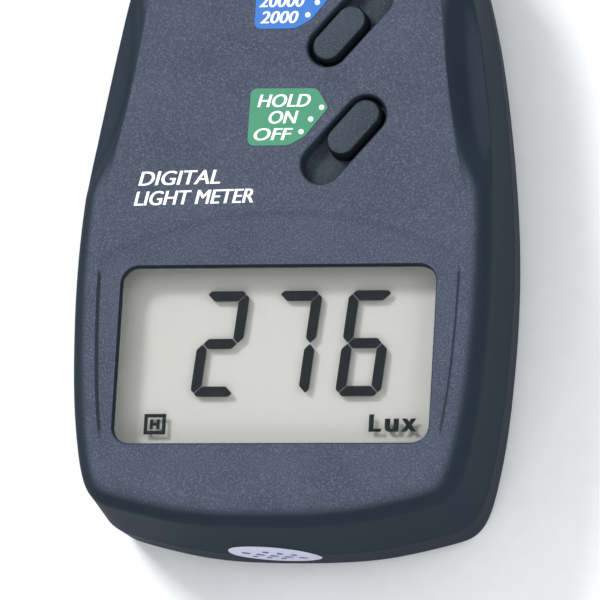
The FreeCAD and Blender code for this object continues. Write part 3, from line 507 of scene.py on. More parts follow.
bmesh.ops.dissolve_degenerate(back_shape, edges=back_shape.edges, dist=1e-7)
bmesh.ops.recalc_face_normals(back_shape, faces=back_shape.faces)
# Colours: the face, the walls painted darker as shade, and the light flecks painted as glints.
back_plastic = textured_plastic("back_case_plastic", (0.040, 0.047, 0.066), (0.024, 0.030, 0.042),
                                (0.09, 0.10, 0.125))
back_shell = finished("back_shell_body", back_shape, "case", back_plastic)

bay_wide, bay_deep = DOOR_WIDTH + 2 * DOOR_GAP, DOOR_HEIGHT + 2 * DOOR_GAP
carve(back_shell, rounded_box(bay_wide + 2.8, bay_deep + 2.8, WALL - 0.4, 17.6, 0.8, DOOR_X, DOOR_Y), "UNION")
for x, y in BOSSES:
    carve(back_shell, post(3.0, WALL - 0.5, PARTING_Z - 0.05, x, y), "UNION")
carve(back_shell, rounded_box(bay_wide + 0.2, bay_deep + 0.2, WALL - 0.2, 19, 0.6, DOOR_X, DOOR_Y))
carve(back_shell, rounded_box(bay_wide, bay_deep, -1.0, WALL + 0.6, 0.9, DOOR_X, DOOR_Y))
for x, y in BOSSES:
    carve(back_shell, post(2.5, -0.2, 5.5, x, y))
    carve(back_shell, post(3.1, -0.3, 0.35, x, y, top_radius=2.45))
    carve(back_shell, post(1.4, 5.0, 12, x, y, 24))
    if y < 0:
        carve(back_shell, post(3.35, PARTING_Z, 19, x, y))
TAB_X = (-17.0, 17.0)
TAB_Y = DOOR_Y + DOOR_HEIGHT / 2
for x in TAB_X:
    carve(back_shell, rounded_box(7.6, 3.2, WALL + 0.05, 5.2, 0, x, TAB_Y + 1.3))
carve(back_shell, rounded_box(4.4, 4.0, 8.4, 19, 0.5, 22.8, TAB_Y + 1.2))
LATCH_Y = DOOR_Y - DOOR_HEIGHT / 2
carve(back_shell, rounded_box(12.6, 1.8, WALL + 0.05, 6.0, 0, DOOR_X, LATCH_Y - 0.9))
thumb_dip = bmesh.new()
bmesh.ops.create_uvsphere(thumb_dip, u_segments=48, v_segments=24, radius=1.0)
bmesh.ops.scale(thumb_dip, vec=Vector((6.2, 4.2, 1.3)) * MM, verts=thumb_dip.verts)
bmesh.ops.translate(thumb_dip, vec=Vector((DOOR_X, LATCH_Y - 0.4, -0.2)) * MM, verts=thumb_dip.verts)
carve(back_shell, thumb_dip)
carve(back_shell, rounded_box(34.6, 24.6, -0.5, 0.25, 1.4, 0, 14))
shade_smooth(back_shell, 38)
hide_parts("back_shell")


# ---------------------------------------------------------------- battery door
# A flat moulded lid under the battery, held by two hooked tabs at one edge and a latch
# tongue at the other; a finger groove and six ribs give the thumb a hold.
def joined(name, body, material, shapes):
    """One piece out of several moulded shapes run together."""
    piece = finished(name, shapes[0], None, material)
    for shape in shapes[1:]:
        carve(piece, shape, "UNION")
    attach(piece, body)
    return piece


door_lid = rounded_box(DOOR_WIDTH, DOOR_HEIGHT, 0.0, WALL, 0.8, DOOR_X, DOOR_Y)
bmesh.ops.bevel(door_lid, geom=[e for e in door_lid.edges if e.verts[0].co.z < 1e-6 and e.verts[1].co.z < 1e-6],
                offset=0.35 * MM, segments=3, profile=0.5, affect="EDGES", material=-1)
door_shapes = [door_lid]
for x in TAB_X:
    door_shapes.append(rounded_box(6.4, 1.0, WALL - 0.2, WALL + 1.2, 0, x, TAB_Y - 0.5))
    door_shapes.append(rounded_box(6.4, 3.2, WALL + DOOR_GAP, WALL + DOOR_GAP + 0.9, 0, x, TAB_Y + 0.6))
door_shapes.append(rounded_box(11.4, 1.0, WALL - 0.2, WALL + 1.6, 0.3, DOOR_X, LATCH_Y + 0.5))
# Door colours: the face, the edges painted darker as shade, and the light flecks painted as glints.
door = joined("battery_door_lid", "door", textured_plastic(
    "door_plastic", (0.058, 0.066, 0.086), (0.030, 0.037, 0.048), (0.11, 0.12, 0.15)), door_shapes)
carve(door, stacked([pill(14 + 2 * f, 1.2 + 2 * f, DOOR_X, LATCH_Y + 4.2, z, 0.0)
                     for f, z in ((0.35, -0.1), (0.15, 0.05), (0.0, 0.3), (-0.2, 0.5))]))
for i in range(6):
    carve(door, stacked([pill(11 + 2 * f, 0.7 + 2 * f, DOOR_X, LATCH_Y + 6.4 + 1.5 * i, z, 0.0)
                         for f, z in ((0.2, -0.1), (0.05, 0.05), (-0.1, 0.3))]))
shade_smooth(door, 18)
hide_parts("battery_door")


# ---------------------------------------------------------------- display window
# A clear acrylic lens, stepped so that its raised middle fills the window from behind
# and stands a hair below the face.
def clear_material(name, tint, gloss_rough, haze):
    """Clear sheet: light goes straight through it, with a little reflection on top."""
    material, nodes, links, shader = new_material(name)
    nodes.remove(shader)
    out = nodes["Material Output"]
    through = nodes.new("ShaderNodeBsdfTransparent")
    through.inputs["Color"].default_value = (*tint, 1.0)
    gloss = nodes.new("ShaderNodeBsdfGlossy")
    gloss.inputs["Roughness"].default_value = gloss_rough
    edge = nodes.new("ShaderNodeFresnel")
    edge.inputs["IOR"].default_value = 1.45
    specks = fine_noise(nodes, links, 1.6 * MM)
    share = nodes.new("ShaderNodeMath")
    share.operation = "MULTIPLY"
    links.new(edge.outputs["Fac"], share.inputs[0])
    links.new(spread(nodes, links, specks, 0.3, 0.7, haze, haze + 0.1), share.inputs[1])
    mix = nodes.new("ShaderNodeMixShader")
    links.new(share.outputs[0], mix.inputs["Fac"])
    links.new(through.outputs[0], mix.inputs[1])
    links.new(gloss.outputs[0], mix.inputs[2])
    links.new(mix.outputs[0], out.inputs["Surface"])
    return material


LENS_WIDTH, LENS_HEIGHT, LENS_LOW, LENS_TOP, LENS_STEP = 54.4, 32.0, 25.7, 27.0, 28.42
lens_step = rounded_box(WINDOW_WIDTH - 0.5, WINDOW_HEIGHT - 0.5, 26.5, LENS_STEP, WINDOW_CORNER - 0.25, 0, WINDOW_Y)
bmesh.ops.bevel(lens_step, geom=[e for e in lens_step.edges if min(v.co.z for v in e.verts) > (LENS_STEP - 0.01) * MM],
                offset=0.12 * MM, segments=2, profile=0.5, affect="EDGES", material=-1)
lens = joined("display_lens", "case", clear_material("clear_acrylic", (0.99, 0.992, 0.99), 0.03, 0.22),
              [rounded_box(LENS_WIDTH, LENS_HEIGHT, LENS_LOW, LENS_TOP, 2.4, 0, WINDOW_Y), lens_step])
shade_smooth(lens, 12)
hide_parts("display_window")


# ---------------------------------------------------------------- liquid crystal display
# Two glass plates over a satin reflector, in a black frame on a foam gasket and two
# rubber contact strips.  The dark segments lie between the glasses, so they drop a soft
# shadow on the reflector.
def coat(node, material):
    """Give a CAD part its finish."""
    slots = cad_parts[node].data.materials
    slots.clear()
    slots.append(material)


glass_finish = clear_material("display_glass_finish", (0.996, 0.997, 0.996), 0.02, 0.12)
coat("lcd_front_glass", glass_finish)
coat("lcd_rear_glass", glass_finish)
coat("lcd_reflector", grained("satin_reflector", (0.655, 0.635, 0.602), 0.75, grain=0.25 * MM, depth=0.004 * MM,
                              fleck=0.02, specular=0.2))
coat("window_gasket", grained("foam_rubber", (0.012, 0.012, 0.013), 0.9, grain=0.3 * MM, depth=0.05 * MM,
                              fleck=0.3, specular=0.2))
black_moulding = grained("black_moulding", (0.020, 0.021, 0.023), 0.5, grain=0.5 * MM, depth=0.01 * MM, fleck=0.15)
coat("lcd_frame", black_moulding)


def layered_rubber():
    """Contact strip: thin black and tan layers across its length."""
    material, nodes, links, shader = new_material("contact_rubber_layers")
    place = nodes.new("ShaderNodeTexCoord")
    wave = nodes.new("ShaderNodeTexWave")
    wave.inputs["Scale"].default_value = 1 / (1.6 * MM)
    links.new(place.outputs["Object"], wave.inputs["Vector"])
    links.new(blend_colours(nodes, links, wave.outputs["Fac"], (0.008, 0.008, 0.008), (0.03, 0.026, 0.022)),
              shader.inputs["Base Color"])
    shader.inputs["Roughness"].default_value = 0.8
    raise_bumps(nodes, links, shader, wave.outputs["Fac"], 0.02 * MM)
    return material


rubber = layered_rubber()
coat("zebra_strip_upper", rubber)
coat("zebra_strip_lower", rubber)

DIGIT_HALF_WIDTH, DIGIT_HALF_HEIGHT = 3.78, 8.83
STROKE, OUTER_CUT, SLANT, DIGIT_Y = 1.8, 0.58, 0.087, -26.6
INK_LOW, INK_THICK, INK_GAP = 24.118, 0.024, 0.05
LIT = {2: "abged", 7: "abc", 6: "acdefg"}
DIGITS = ((2, -10.0), (7, 1.95), (6, 13.8))


def segment(letter):
    """Corners of one segment in an upright digit, each with how much it is rounded off."""
    a, b, t, c = DIGIT_HALF_WIDTH, DIGIT_HALF_HEIGHT, STROKE, OUTER_CUT
    tip = a - 0.95
    side = [(a - c, b - c), (a, b - 2 * c), (a, 0.95), (tip, 0), (a - t, t / 2), (a - t, b - t)]
    bar = [(-a + c, b - c), (-a + 2 * c, b), (a - 2 * c, b), (a - c, b - c), (a - t, b - t), (-a + t, b - t)]
    middle = [(-tip, 0), (-a + t, t / 2), (a - t, t / 2), (tip, 0), (a - t, -t / 2), (-a + t, -t / 2)]
    return {"a": bar, "b": side, "c": [(x, -y) for x, y in side], "d": [(x, -y) for x, y in bar],
            "e": [(-x, -y) for x, y in side], "f": [(-x, y) for x, y in side], "g": middle}[letter]


def flat_plate(corners, low, thick, rounding=0.0):
    """A thin flat plate with the given corners in millimetres, slightly rounded."""
    shape = bmesh.new()
    shape.faces.new([shape.verts.new(Vector((x, y, low)) * MM) for x, y in corners])
    if rounding:
        bmesh.ops.bevel(shape, geom=list(shape.verts), offset=rounding * MM, segments=3, profile=0.5,
                        affect="VERTICES", material=-1)
    top = bmesh.ops.extrude_face_region(shape, geom=list(shape.faces), use_keep_orig=True)["geom"]
    bmesh.ops.translate(shape, vec=(0, 0, thick * MM), verts=[v for v in top if isinstance(v, bmesh.types.BMVert)])
    bmesh.ops.recalc_face_normals(shape, faces=shape.faces)
    return shape


def gather(shape, part):
    """Move a part's mesh into a shape, as a separate shell."""
    holder = bpy.data.meshes.new("holder")
    part.to_mesh(holder)
    part.free()
    shape.from_mesh(holder)
    bpy.data.meshes.remove(holder)


ink = bmesh.new()
for digit, x0 in DIGITS:
    for letter in LIT[digit]:
        corners = np.array(segment(letter))
        middle = corners.mean(0)
        size = np.abs(corners - middle).max(0)
        corners = middle + (corners - middle) * (1 - INK_GAP / size)
        gather(ink, flat_plate([(x0 + x + SLANT * y, DIGIT_Y + y) for x, y in corners], INK_LOW, INK_THICK, 0.16))
HOLD_MARK = (-19.95, -39.9)
for dx, dy, wide, tall in ((0, 1.40, 3.6, 0.60), (0, -1.40, 3.6, 0.60), (-1.50, 0, 0.60, 2.2), (1.50, 0, 0.60, 2.2),
                           (-0.55, 0, 0.52, 1.6), (0.55, 0, 0.52, 1.6), (0, 0, 0.58, 0.5)):
    x, y = HOLD_MARK[0] + dx, HOLD_MARK[1] + dy
    gather(ink, flat_plate([(x - wide / 2, y - tall / 2), (x + wide / 2, y - tall / 2), (x + wide / 2, y + tall / 2),
                            (x - wide / 2, y + tall / 2)], INK_LOW, INK_THICK))
crystal_ink = grained("dark_crystal", (0.006, 0.008, 0.011), 0.5, grain=0.3 * MM, depth=0.001 * MM, fleck=0.1,
                      specular=0.1)
segments = finished("display_segments", ink, "case", crystal_ink)


def lettering(name, lines, body, material, low, thick=0.03, bold=0.0, shear=0.0, tilt=0.0, passes=1):
    """Raised print: each line is (words, x, y, cap height, width) from its lower left corner.

    Each further pass lands a hair to the right, which makes the strokes heavier.
    """
    shape = bmesh.new()
    for words, x, y, cap, wide in lines:
        curve = bpy.data.curves.new(name, "FONT")
        curve.body = words
        curve.size = 1.0
        curve.offset = bold
        curve.shear = shear
        curve.resolution_u = 4
        curve.extrude = 0.5
        writer = bpy.data.objects.new("writer", curve)
        bpy.context.scene.collection.objects.link(writer)
        bpy.context.view_layer.update()
        mesh = bpy.data.meshes.new_from_object(writer.evaluated_get(bpy.context.evaluated_depsgraph_get()))
        bpy.data.objects.remove(writer)
        line = bmesh.new()
        line.from_mesh(mesh)
        low_corner = Vector([min(v.co[k] for v in line.verts) for k in range(3)])
        high_corner = Vector([max(v.co[k] for v in line.verts) for k in range(3)])
        span = high_corner - low_corner
        bmesh.ops.translate(line, vec=-low_corner, verts=line.verts)
        bmesh.ops.scale(line, vec=(wide * MM / span.x, cap * MM / span.y, thick * MM / span.z), verts=line.verts)
        bmesh.ops.rotate(line, matrix=Matrix.Rotation(math.radians(tilt), 3, "Z"), verts=line.verts)
        bmesh.ops.translate(line, vec=Vector((x, y, low)) * MM, verts=line.verts)
        bmesh.ops.remove_doubles(line, verts=line.verts, dist=1e-7)
        for _ in range(passes):
            line.to_mesh(mesh)
            shape.from_mesh(mesh)
            bmesh.ops.translate(line, vec=Vector((0.08, 0, 0.002)) * MM, verts=line.verts)
        line.free()
    return finished(name, shape, body, material)


unit_mark = lettering("display_unit", [("L", 15.15, -41.25, 2.85, 1.80), ("u", 17.75, -41.3, 2.2, 2.05),
                                       ("x", 20.45, -41.25, 2.15, 2.25)],
                      "case", crystal_ink, INK_LOW, INK_THICK, bold=0.02, passes=4)


# ---------------------------------------------------------------- main board and its parts
# One glass-fibre board from the display to the sensor, screwed to four posts under the
# face, with the converter, amplifier, trimmers, capacitors and resistors on its underside.
def board_finish():
    """Green solder resist with the copper tracks showing through as lighter lines."""
    material, nodes, links, shader = new_material("solder_resist")
    place = nodes.new("ShaderNodeTexCoord")
    bricks = nodes.new("ShaderNodeTexBrick")
    bricks.inputs["Scale"].default_value = 1 / (5 * MM)
    bricks.inputs["Mortar Size"].default_value = 0.06
    bricks.inputs["Color1"].default_value = (0.010, 0.085, 0.032, 1)
    bricks.inputs["Color2"].default_value = (0.012, 0.100, 0.040, 1)
    bricks.inputs["Mortar"].default_value = (0.040, 0.190, 0.075, 1)
    links.new(place.outputs["Object"], bricks.inputs["Vector"])
    links.new(bricks.outputs["Color"], shader.inputs["Base Color"])
    shader.inputs["Roughness"].default_value = 0.35
    raise_bumps(nodes, links, shader, bricks.outputs["Fac"], 0.03 * MM)
    return material


coat("main_board", board_finish())
steel = grained("plated_steel", (0.60, 0.60, 0.58), 0.28, grain=0.15 * MM, depth=0.003 * MM, fleck=0.08, metallic=1.0)
gold = grained("gold_flash", (0.80, 0.60, 0.28), 0.3, grain=0.2 * MM, depth=0.003 * MM, fleck=0.08, metallic=1.0)
chip_resin = grained("chip_resin", (0.022, 0.022, 0.024), 0.65, grain=0.2 * MM, depth=0.02 * MM, fleck=0.2)
for node, material in (
        ("board_screws", steel), ("power_switch_frame", steel), ("range_switch_frame", steel),
        ("power_wiper", gold), ("range_wiper", gold), ("power_slider", black_moulding),
        ("range_slider", black_moulding), ("converter_chip", chip_resin), ("amplifier_chip", chip_resin),
        ("trimmers", grained("trimmer_blue", (0.02, 0.11, 0.42), 0.4, fleck=0.08)),
        ("electrolytic_capacitors", grained("capacitor_sleeve", (0.022, 0.032, 0.11), 0.35, fleck=0.1)),
        ("film_capacitors", grained("dipped_orange", (0.52, 0.12, 0.02), 0.35, fleck=0.1)),
        ("resistors", grained("resistor_lacquer", (0.52, 0.36, 0.19), 0.45, fleck=0.1))):
    coat(node, material)


# ---------------------------------------------------------------- slide switches
# Two knobs, each one moulding with a long cover plate under it that always fills its slot;
# the cap has drafted sides, a rounded top edge and a slightly crowned top, and its sides are painted darker as shade.
KNOB_LENGTH, KNOB_WIDTH, KNOB_TOP = 10.9, 5.3, 29.7
REST_SHIFT = {"power": 2.5, "range": -2.5}
# the cap's section from its foot up: how far in, how high
KNOB_SECTION = [(0.0, SLOT_FOOT - 0.2), (0.0, SLOT_FOOT), (0.05, 27.6), (0.09, 28.5), (0.14, 29.0), (0.24, 29.27),
                (0.40, 29.44), (0.62, 29.54), (0.95, 29.60), (1.40, 29.65), (2.00, KNOB_TOP)]
# Knob colours: the top, the sides painted near black as shade, and the light flecks painted as glints.
knob_plastic = textured_plastic("knob_plastic", (0.044, 0.056, 0.070), (0.010, 0.013, 0.017), (0.10, 0.115, 0.135))
for switch, shift in REST_SHIFT.items():
    x = SLOT_X + shift * math.cos(math.radians(SLOT_ANGLE))
    y = SLOT_Y[switch] + shift * math.sin(math.radians(SLOT_ANGLE))
    cap = stacked([pill(KNOB_LENGTH - 2 * f, KNOB_WIDTH - 2 * f, x, y, z) for f, z in KNOB_SECTION])
    plate = stacked([pill(22.4 - 2 * f, 8.2 - 2 * f, x, y, z) for f, z in
                     ((0.1, 25.1), (0.0, 25.2), (0.0, 26.0), (0.1, SLOT_FOOT))])
    stem = stacked([pill(6.0, 2.2, x, y, z) for z in (23.0, 25.3)])
    knob = joined(switch + "_knob_cap", switch + "_switch", knob_plastic, [cap, plate, stem])
    shade_smooth(knob, 32)
    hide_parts(switch + "_knob")


# ---------------------------------------------------------------- printed labels
# Two satin printed films beside the switches, a green one for the power switch and a blue
# one for the range, with white words and a white dot at each stop, and two printed lines.
def printed_film(name, colour):
    """Satin ink on thin film: faint streaks and a fine orange-peel surface."""
    material, nodes, links, shader = new_material(name)
    streaks = fine_noise(nodes, links, 0.5 * MM, detail=2.0)
    light = tuple(min(1.0, c * 1.12) for c in colour)
    links.new(blend_colours(nodes, links, spread(nodes, links, streaks, 0.35, 0.65, 0, 1), colour, light),
              shader.inputs["Base Color"])
    links.new(spread(nodes, links, streaks, 0.3, 0.7, 0.42, 0.52), shader.inputs["Roughness"])
    raise_bumps(nodes, links, shader, streaks, 0.004 * MM)
    return material


LABEL_TOP = 29.1
# corners of the green film round from the upper left, with the radius of each
FILM_CORNERS = [(-6.30, 5.1, 1.1), (-6.2, 14.75, 1.0), (4.75, 14.65, 1.3), (6.75, 11.35, 0.5), (3.1, 6.6, 1.6),
                (0.6, 5.1, 2.6)]
white_ink = grained("white_ink", (0.86, 0.86, 0.86), 0.5, grain=0.2 * MM, depth=0.003 * MM, fleck=0.03)
green_film = printed_film("green_film", (0.020, 0.200, 0.100))
blue_film = printed_film("blue_film", (0.002, 0.115, 0.42))


def film_label(name, lift_y, material):
    """The film's outline with its corners rounded off, raised as a thin plate."""
    shape = bmesh.new()
    corners = [shape.verts.new(Vector((x, y + lift_y, FACE_Z - 0.02)) * MM) for x, y, _ in FILM_CORNERS]
    shape.faces.new(corners)
    for corner, (_, _, radius) in zip(corners, FILM_CORNERS):
        turn_angle = corner.link_edges[0].other_vert(corner).co - corner.co
        other = corner.link_edges[1].other_vert(corner).co - corner.co
        half = turn_angle.angle(other) / 2
        bmesh.ops.bevel(shape, geom=[corner], offset=radius * MM / math.tan(half), segments=6, profile=0.5,
                        affect="VERTICES", material=-1)
    top = bmesh.ops.extrude_face_region(shape, geom=list(shape.faces), use_keep_orig=True)["geom"]
    bmesh.ops.translate(shape, vec=(0, 0, (LABEL_TOP - FACE_Z + 0.02) * MM),
                        verts=[v for v in top if isinstance(v, bmesh.types.BMVert)])
    bmesh.ops.recalc_face_normals(shape, faces=shape.faces)
    return finished(name, shape, "case", material)


range_lift = SLOT_Y["range"] - SLOT_Y["power"]
green_label = film_label("power_film", 0.0, green_film)
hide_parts("power_label")
blue_label = film_label("range_film", range_lift, blue_film)
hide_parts("range_label")
words = [("HOLD", -5.0, 11.55, 2.15, 8.65), ("ON", -3.0, 8.75, 2.15, 4.75), ("OFF", -5.3, 5.95, 2.05, 6.3)]
power_words = lettering("power_words", words, "case", white_ink, LABEL_TOP - 0.01, shear=0.22, passes=3)
numbers = [("50000", -5.6, 11.6 + range_lift, 2.15, 9.2), ("20000", -5.7, 8.75 + range_lift, 2.15, 7.4),
           ("2000", -5.4, 6.0 + range_lift, 2.05, 6.2)]
range_words = lettering("range_words", numbers, "case", white_ink, LABEL_TOP - 0.01, shear=0.22, passes=3)
DOTS = [(5.65, 11.42), (3.95, 9.45), (2.48, 7.35)]
dot_shape = bmesh.new()
for x, y in DOTS:
    for lift in (0.0, range_lift):
        before = set(dot_shape.verts)
        bmesh.ops.create_cone(dot_shape, cap_ends=True, segments=28, radius1=0.44 * MM, radius2=0.44 * MM,
                              depth=0.04 * MM)
        new = [v for v in dot_shape.verts if v not in before]
        bmesh.ops.translate(dot_shape, vec=Vector((x, y + lift, LABEL_TOP)) * MM, verts=new)
dots = finished("stop_dots", dot_shape, "case", white_ink)
FACE_PRINT = [("DIGITAL", -23.95, -1.45, 2.4, 13.4), ("LIGHT METER", -24.5, -4.8, 2.4, 19.6)]
face_print = lettering("face_print", FACE_PRINT, "case", white_ink, FACE_Z - 0.005, shear=0.22, tilt=1.0, passes=3)


# ---------------------------------------------------------------- light sensor
# A black ring in the face holds the milky dome; under it a green filter lies on the
# photodiode inside a black cup.
bezel = stacked([np.column_stack([np.array([(math.cos(a), math.sin(a)) for a in
                                            np.linspace(0, 2 * math.pi, 96, endpoint=False)]) * r + (0, SENSOR_Y),
                                  np.full(96, z)]) * MM
                 for r, z in ((7.95, 27.8), (8.0, 27.9), (8.0, 29.4), (7.9, 29.62), (7.7, 29.76), (7.45, 29.8),
                              (6.75, 29.8), (6.5, 29.7), (6.35, 29.5))])
sensor_ring = finished("sensor_ring", bezel, "case", black_moulding)
carve(sensor_ring, post(DOME_RADIUS + 0.08, 27.0, 31.0, 0, SENSOR_Y, 96))
shade_smooth(sensor_ring, 35)
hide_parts("sensor_bezel")


def milky(name, colour):
    """Diffusing acrylic: light scatters under a satin skin."""
    material, nodes, links, shader = new_material(name)
    noise = fine_noise(nodes, links, 0.8 * MM)
    dark = tuple(c * 0.95 for c in colour)
    links.new(blend_colours(nodes, links, noise, dark, colour), shader.inputs["Base Color"])
    links.new(spread(nodes, links, noise, 0.3, 0.7, 0.3, 0.42), shader.inputs["Roughness"])
    raise_bumps(nodes, links, shader, noise, 0.004 * MM)
    shader.inputs["Subsurface Weight"].default_value = 0.4
    shader.inputs["Subsurface Scale"].default_value = 1.5 * MM
    return material


dome_sections = [(DOME_RADIUS + 0.75, 26.82), (DOME_RADIUS + 0.75, 27.68), (DOME_RADIUS, 27.7), (DOME_RADIUS, 29.8)]
dome_sections += [(DOME_RADIUS * math.cos(a), 29.8 + 1.5 * math.sin(a)) for a in np.radians(np.arange(6, 90, 6))]
around = np.array([(math.cos(a), math.sin(a)) for a in np.linspace(0, 2 * math.pi, 96, endpoint=False)])
dome = finished("sensor_diffuser", stacked([np.column_stack([around * r + (0, SENSOR_Y), np.full(96, z)]) * MM
                                            for r, z in dome_sections]), "case",
                milky("milky_acrylic", (0.84, 0.84, 0.80)))
shade_smooth(dome, 35)
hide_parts("sensor_dome")
coat("sensor_filter", clear_material("green_glass", (0.45, 0.75, 0.45), 0.05, 0.5))
coat("photodiode", grained("silicon_face", (0.03, 0.03, 0.06), 0.2, grain=0.3 * MM, fleck=0.2))
coat("sensor_cup", black_moulding)


# ---------------------------------------------------------------- battery
# A 9 V block lying across the case: lacquered steel jacket with a copper-coloured band,
# two snap terminals and a vinyl snap with a red and a black lead.
def battery_jacket():
    """Dark lacquer with a coppery band at the terminal end and fine rolled streaks."""
    material, nodes, links, shader = new_material("battery_jacket")
    place = nodes.new("ShaderNodeTexCoord")
    parts = nodes.new("ShaderNodeSeparateXYZ")
    links.new(place.outputs["Object"], parts.inputs["Vector"])
    band = spread(nodes, links, parts.outputs["X"], 8.9 * MM, 9.1 * MM, 0, 1)
    streaks = fine_noise(nodes, links, 0.7 * MM)
    dark = blend_colours(nodes, links, streaks, (0.018, 0.018, 0.022), (0.030, 0.030, 0.036))
    copper = blend_colours(nodes, links, streaks, (0.50, 0.24, 0.11), (0.60, 0.31, 0.15))
    links.new(blend_colours(nodes, links, band, dark, copper), shader.inputs["Base Color"])
    links.new(spread(nodes, links, streaks, 0.3, 0.7, 0.26, 0.38), shader.inputs["Roughness"])
    raise_bumps(nodes, links, shader, streaks, 0.004 * MM)
    shader.inputs["Metallic"].default_value = 0.6
    return material


black_vinyl = grained("black_vinyl", (0.018, 0.018, 0.019), 0.55, grain=0.5 * MM, depth=0.02 * MM, fleck=0.2)
coat("battery", battery_jacket())
coat("battery_terminals", steel)
coat("battery_snap", black_vinyl)
coat("battery_lead_black", black_vinyl)
coat("battery_lead_red", grained("red_vinyl", (0.42, 0.012, 0.012), 0.4, fleck=0.1))


# ---------------------------------------------------------------- case screws
# Four pan-head screws with cross recesses, deep in the back shell's counterbores.
SCREW_HEAD, SCREW_SHANK, HEAD_LOW, HEAD_HIGH = 2.25, 1.25, 3.7, 5.49
screw_set = bmesh.new()
for x, y in BOSSES:
    head = stacked([np.column_stack([around[::2] * r + (x, y), np.full(48, z)]) * MM for r, z in
                    ((1.5, HEAD_LOW), (1.9, HEAD_LOW + 0.12), (2.15, HEAD_LOW + 0.4), (SCREW_HEAD, HEAD_LOW + 0.85),
                     (SCREW_HEAD, HEAD_HIGH), (SCREW_SHANK, HEAD_HIGH), (SCREW_SHANK, 15.5), (0.3, 16.49))])
    one = finished("case_screw", head, None, steel)
    for wide, deep in ((2.3, 0.5), (0.5, 2.3)):
        carve(one, rounded_box(wide, deep, 3.0, HEAD_LOW + 1.0, 0, x, y))
    screw_set.from_mesh(one.data)
    bpy.data.objects.remove(one)
screws = finished("case_screw_set", screw_set, "case", steel)
shade_smooth(screws, 35)
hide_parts("case_screws")


# ---------------------------------------------------------------- rear label
# A brushed foil label in its seat on the back, with a plain printed border and rules.
def foil(name, colour):
    """Foil brushed along X."""
    material, nodes, links, shader = new_material(name)
    place = nodes.new("ShaderNodeTexCoord")
    stretch = nodes.new("ShaderNodeMapping")
    stretch.inputs["Scale"].default_value = (1 / (8 * MM), 1 / (0.12 * MM), 1.0)
    noise = nodes.new("ShaderNodeTexNoise")
    noise.inputs["Scale"].default_value = 1.0
    noise.inputs["Detail"].default_value = 3.0
    links.new(place.outputs["Object"], stretch.inputs["Vector"])
    links.new(stretch.outputs["Vector"], noise.inputs["Vector"])
    dark = tuple(c * 0.85 for c in colour)
    links.new(blend_colours(nodes, links, noise.outputs["Fac"], dark, colour), shader.inputs["Base Color"])
    links.new(spread(nodes, links, noise.outputs["Fac"], 0.3, 0.7, 0.34, 0.5), shader.inputs["Roughness"])
    shader.inputs["Metallic"].default_value = 0.9
    raise_bumps(nodes, links, shader, noise.outputs["Fac"], 0.003 * MM)
    return material


back_label = finished("rear_foil", rounded_box(34.0, 24.0, 0.12, 0.25, 1.2, 0, 14), "case",
                      foil("brushed_foil", (0.62, 0.62, 0.60)))
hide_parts("rear_label")
rule_shape = bmesh.new()
for x, y, wide, deep in [(0, 24.6, 31, 0.25), (0, 3.4, 31, 0.25), (-15.4, 14, 0.25, 21.4), (15.4, 14, 0.25, 21.4)] + [
        (-5, 20.5 - 2.6 * i, 16 - 2.5 * (i % 2), 0.5) for i in range(5)]:
    gather(rule_shape, rounded_box(wide, deep, 0.09, 0.13, 0, x, y))
rules = finished("rear_rules", rule_shape, "case", grained("black_ink", (0.02, 0.02, 0.022), 0.5, fleck=0.2))


# ---------------------------------------------------------------- seal sticker
# An oval paper seal stuck on the chin across the joint between the shells, with small
# blue tick marks; it lies on whatever wall is under it.
def skin_point(x, z):
    """Y of the chin's surface at a place on it, smoothed over the joint's groove."""
    hits = []
    for dz in (-0.5, 0.0, 0.5):
        for tree in chin_trees:
            hit = tree.ray_cast(Vector((x, -80, z + dz)) * MM, Vector((0, 1, 0)))[0]
            if hit:
                hits.append(hit.y)
    return min(hits)


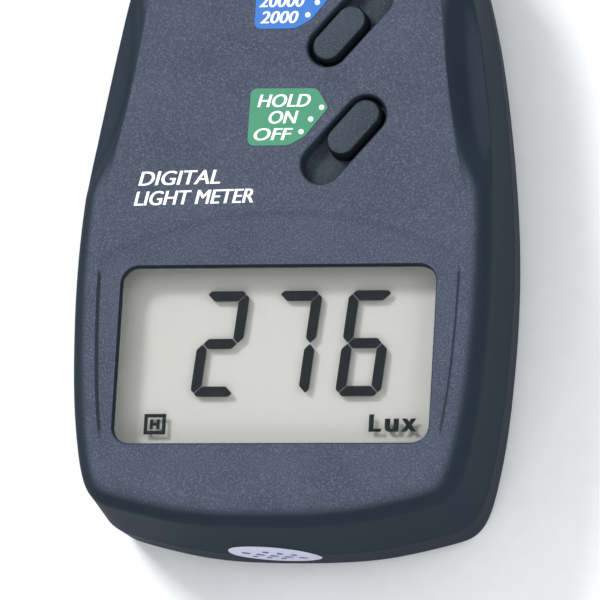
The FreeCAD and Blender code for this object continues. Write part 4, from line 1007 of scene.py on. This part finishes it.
chin_trees = [BVHTree.FromObject(o, bpy.context.evaluated_depsgraph_get()) for o in (front_shell, back_shell)]
SEAL_X, SEAL_Z, SEAL_LONG, SEAL_SHORT, SEAL_TILT = -2.2, 10.4, 7.6, 4.4, 18.0


def seal_patch(long, short, lift, thick, middle=(0.0, 0.0), rings=8):
    """A thin oval patch that follows the chin, its middle given on the seal."""
    shape = bmesh.new()
    c, s = math.cos(math.radians(-SEAL_TILT)), math.sin(math.radians(-SEAL_TILT))
    sections = []
    for share in np.linspace(1, 0.02, rings):
        places = []
        for turn in turns:
            px, pz = middle[0] + long * share * math.cos(turn), middle[1] + short * share * math.sin(turn)
            x, z = SEAL_X + px * c - pz * s, SEAL_Z + px * s + pz * c
            places.append(Vector((x * MM, skin_point(x, z) - lift * MM, z * MM)))
        sections.append(places)
    rim = first_rim(shape, sections[0])
    for places in sections[1:]:
        rim = grow(shape, rim, places)
    bmesh.ops.edgeloop_fill(shape, edges=rim)
    bmesh.ops.recalc_face_normals(shape, faces=shape.faces)
    if sum(f.normal.y for f in shape.faces) > 0:
        bmesh.ops.reverse_faces(shape, faces=shape.faces)
    bmesh.ops.solidify(shape, geom=shape.faces[:] + shape.edges[:] + shape.verts[:], thickness=thick * MM)
    bmesh.ops.recalc_face_normals(shape, faces=shape.faces)
    return shape


turns = np.linspace(0, 2 * math.pi, 80, endpoint=False)
seal = finished("seal_oval", seal_patch(SEAL_LONG, SEAL_SHORT, 0.09, 0.07), "case", grained(
    "seal_paper", (0.50, 0.51, 0.63), 0.5, grain=0.6 * MM, depth=0.006 * MM, fleck=0.05))
shade_smooth(seal, 40)
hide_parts("seal_sticker")
turns = np.linspace(0, 2 * math.pi, 12, endpoint=False)
tick_shape = bmesh.new()
for i in range(-2, 3):
    for z, long in ((1.5, 0.55), (-0.2, 0.75), (-1.8, 0.45)):
        if abs(i) < 2 or z == -0.2:
            gather(tick_shape, seal_patch(long, 0.26, 0.18, 0.03, (2.3 * i + 0.4 * z, z), rings=3))
ticks = finished("seal_ticks", tick_shape, "case", grained("blue_ink", (0.05, 0.07, 0.35), 0.5, fleck=0.1))
